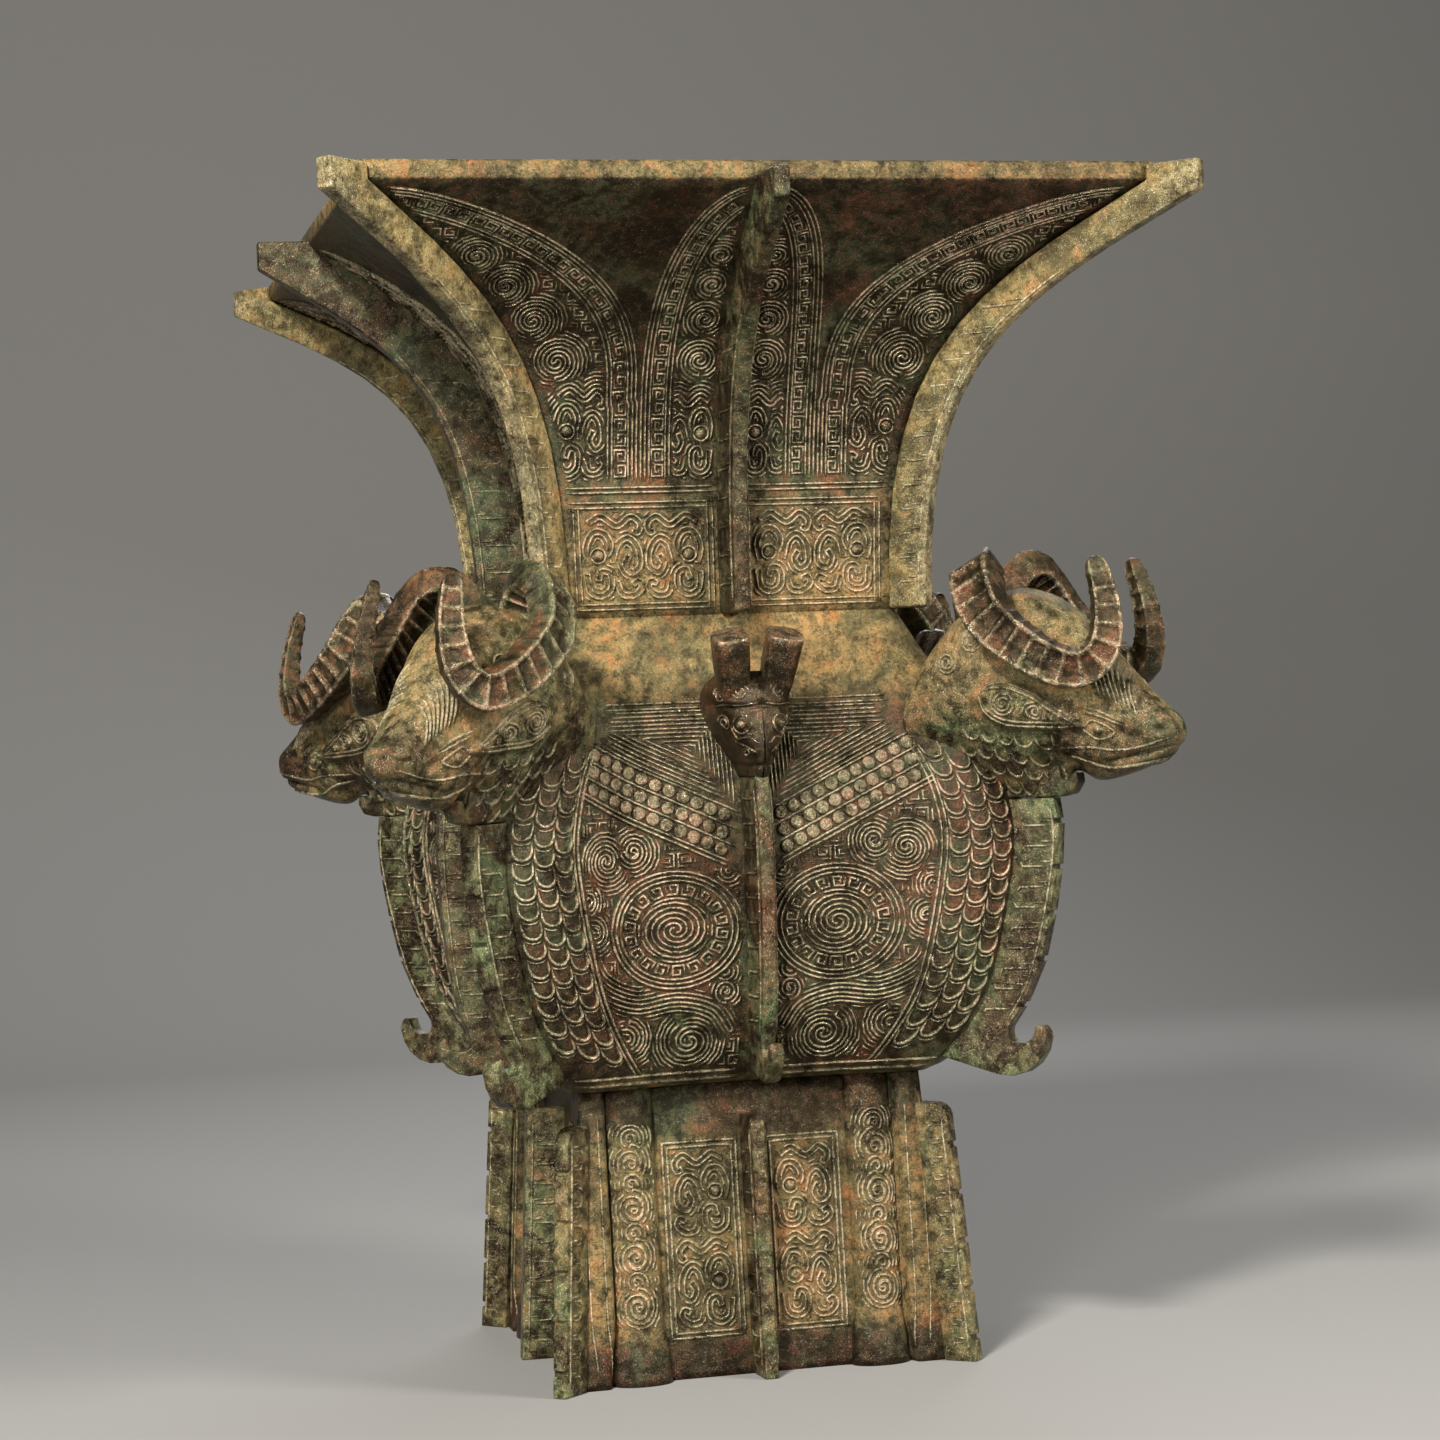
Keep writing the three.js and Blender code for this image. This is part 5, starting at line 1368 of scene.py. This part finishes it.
dragon_x, dragon_y, dragon_z = np.moveaxis(dragon_face["skin"] - (DRAGON_BACK, 0, DRAGON_Z), -1, 0)


def knob(cy, cz, wide, tall, high):
    """A soft rise on the front of the face."""
    return high * np.exp(-(((dragon_y - cy) / wide) ** 2) - ((dragon_z - cz) / tall) ** 2)


cap = 1.9 / (1 + np.exp((33.5 - dragon_z + 0.02 * (dragon_y - 8) ** 2) / 0.45))
cheek_step = 1.5 / (1 + np.exp((np.abs(dragon_y) - 4.5 - 0.34 * dragon_z) / 0.5)) * (dragon_z < 33)
carve = ramp(dragon_x, 0, 6) * (
    cap + cheek_step + knob(8.5, EYE_UP, 3.4, 3.4, 3.2) + knob(8.5, EYE_UP, 5.4, 5.4, -1.2)
    + knob(0, 20, 2.2, 9, 1.6) + knob(3.4, 9.5, 1.6, 1.5, -2.0) + knob(0, 5, 7, 0.9, -1.6)
    + knob(17, 28, 2.5, 5, 1.5) + knob(0, 39, 2.4, 3.5, 1.4))
dragon_face["skin"] = dragon_face["skin"] + carve[..., None] * dragon_face["out"]
dragon_mesh = bmesh.new()
rings = [list(map(tuple, band)) for band in dragon_face["skin"]]
chin = [(DRAGON_BACK + 12, 0, DRAGON_Z - 1.5)] * len(rings[0])
crown = [(DRAGON_BACK + 4, 0, DRAGON_Z + 51)] * len(rings[0])
shell(dragon_mesh, [chin] + rings + [crown])
on_dragon = partial(on_mould, dragon_face)
eye_b = np.interp(EYE_UP, dragon_stations[:, 0], dragon_face["rise"])
face_lines = [ring(9.2, eye_b, 4.4)]
for drawn in [[(1.5, 9.5), (9, 8.6), (18, 9.5), (26, 9)], [(2, -10), (6, -6.5), (13, -6.5), (16, -1)],
              [(3, -14), (9, -10), (16, -8)]]:
    face_lines.append(flow([(x, eye_b + up) for x, up in drawn], 6))
for x, up, size, turns, start, hand in [(20.5, 1, 4.2, 1.8, 0, 1), (8.5, -13.5, 2.2, 1.3, 0, 1),
                                        (9, 15, 4.4, 1.8, 180, -1), (20, 14, 4, 1.7, 0, 1)]:
    face_lines.append(coil(x, eye_b + up, size, turns, start, hand))
press(dragon_mesh, on_dragon, face_lines, 1.1, 0.8)
boss(dragon_mesh, on_dragon, 9.2, eye_b, 2.4, 1.4)
bottle = bmesh.new()
bmesh.ops.create_cone(bottle, cap_ends=True, segments=24, radius1=HORN_FOOT * MM, radius2=HORN_HEAD * MM,
                      depth=HORN_TALL * MM)
top_edges = [e for e in bottle.edges if all(v.co.z > 0 for v in e.verts)]
rounded(bottle, top_edges, HORN_BEVEL)
sides = [e for e in bottle.edges if abs(e.verts[0].co.z - e.verts[1].co.z) > 20 * MM]
bmesh.ops.subdivide_edges(bottle, edges=sides, cuts=4)
# The top edge of each horn takes wear with painted highlight. The sides take painted shade through their low
# relief.
wear_and_painted_light = bottle.verts.layers.float.new("relief")
for v in bottle.verts:
    reach = math.hypot(v.co.x, v.co.y)
    if reach > 0:
        c, s = v.co.x / reach, v.co.y / reach
        squarer = 0.93 / (c ** 4 + s ** 4) ** 0.25
        narrow = 1 - 0.1 * math.exp(-((v.co.z / MM + 12) / 9) ** 2)
        v.co.x *= squarer * narrow
        v.co.y *= squarer * narrow
    v[wear_and_painted_light] = 0.8 if v.co.z > (HORN_TALL / 2 - 2) * MM and reach > 6 * MM else 0.2
lean = Matrix.Rotation(HORN_OUT, 4, "X") @ Matrix.Rotation(HORN_BACK, 4, "Y")
stand = lean @ Matrix.Translation((0, 0, HORN_TALL / 2 * MM))
bottle.transform(Matrix.Translation(Vector(HORN_AT) * MM) @ stand)
join(dragon_mesh, bottle)
both_sides(dragon_mesh)
bronze_dragon = bronze("bronze_dragon", green=0.3, red=1.0, wear_and_painted_light=0.4, grain=0.6)
for side, degrees in SIDES.items():
    finished(dragon_mesh, f"dragon_head_{side}", bronze_dragon, DRAGON_SOIL, degrees)
dragon_mesh.free()
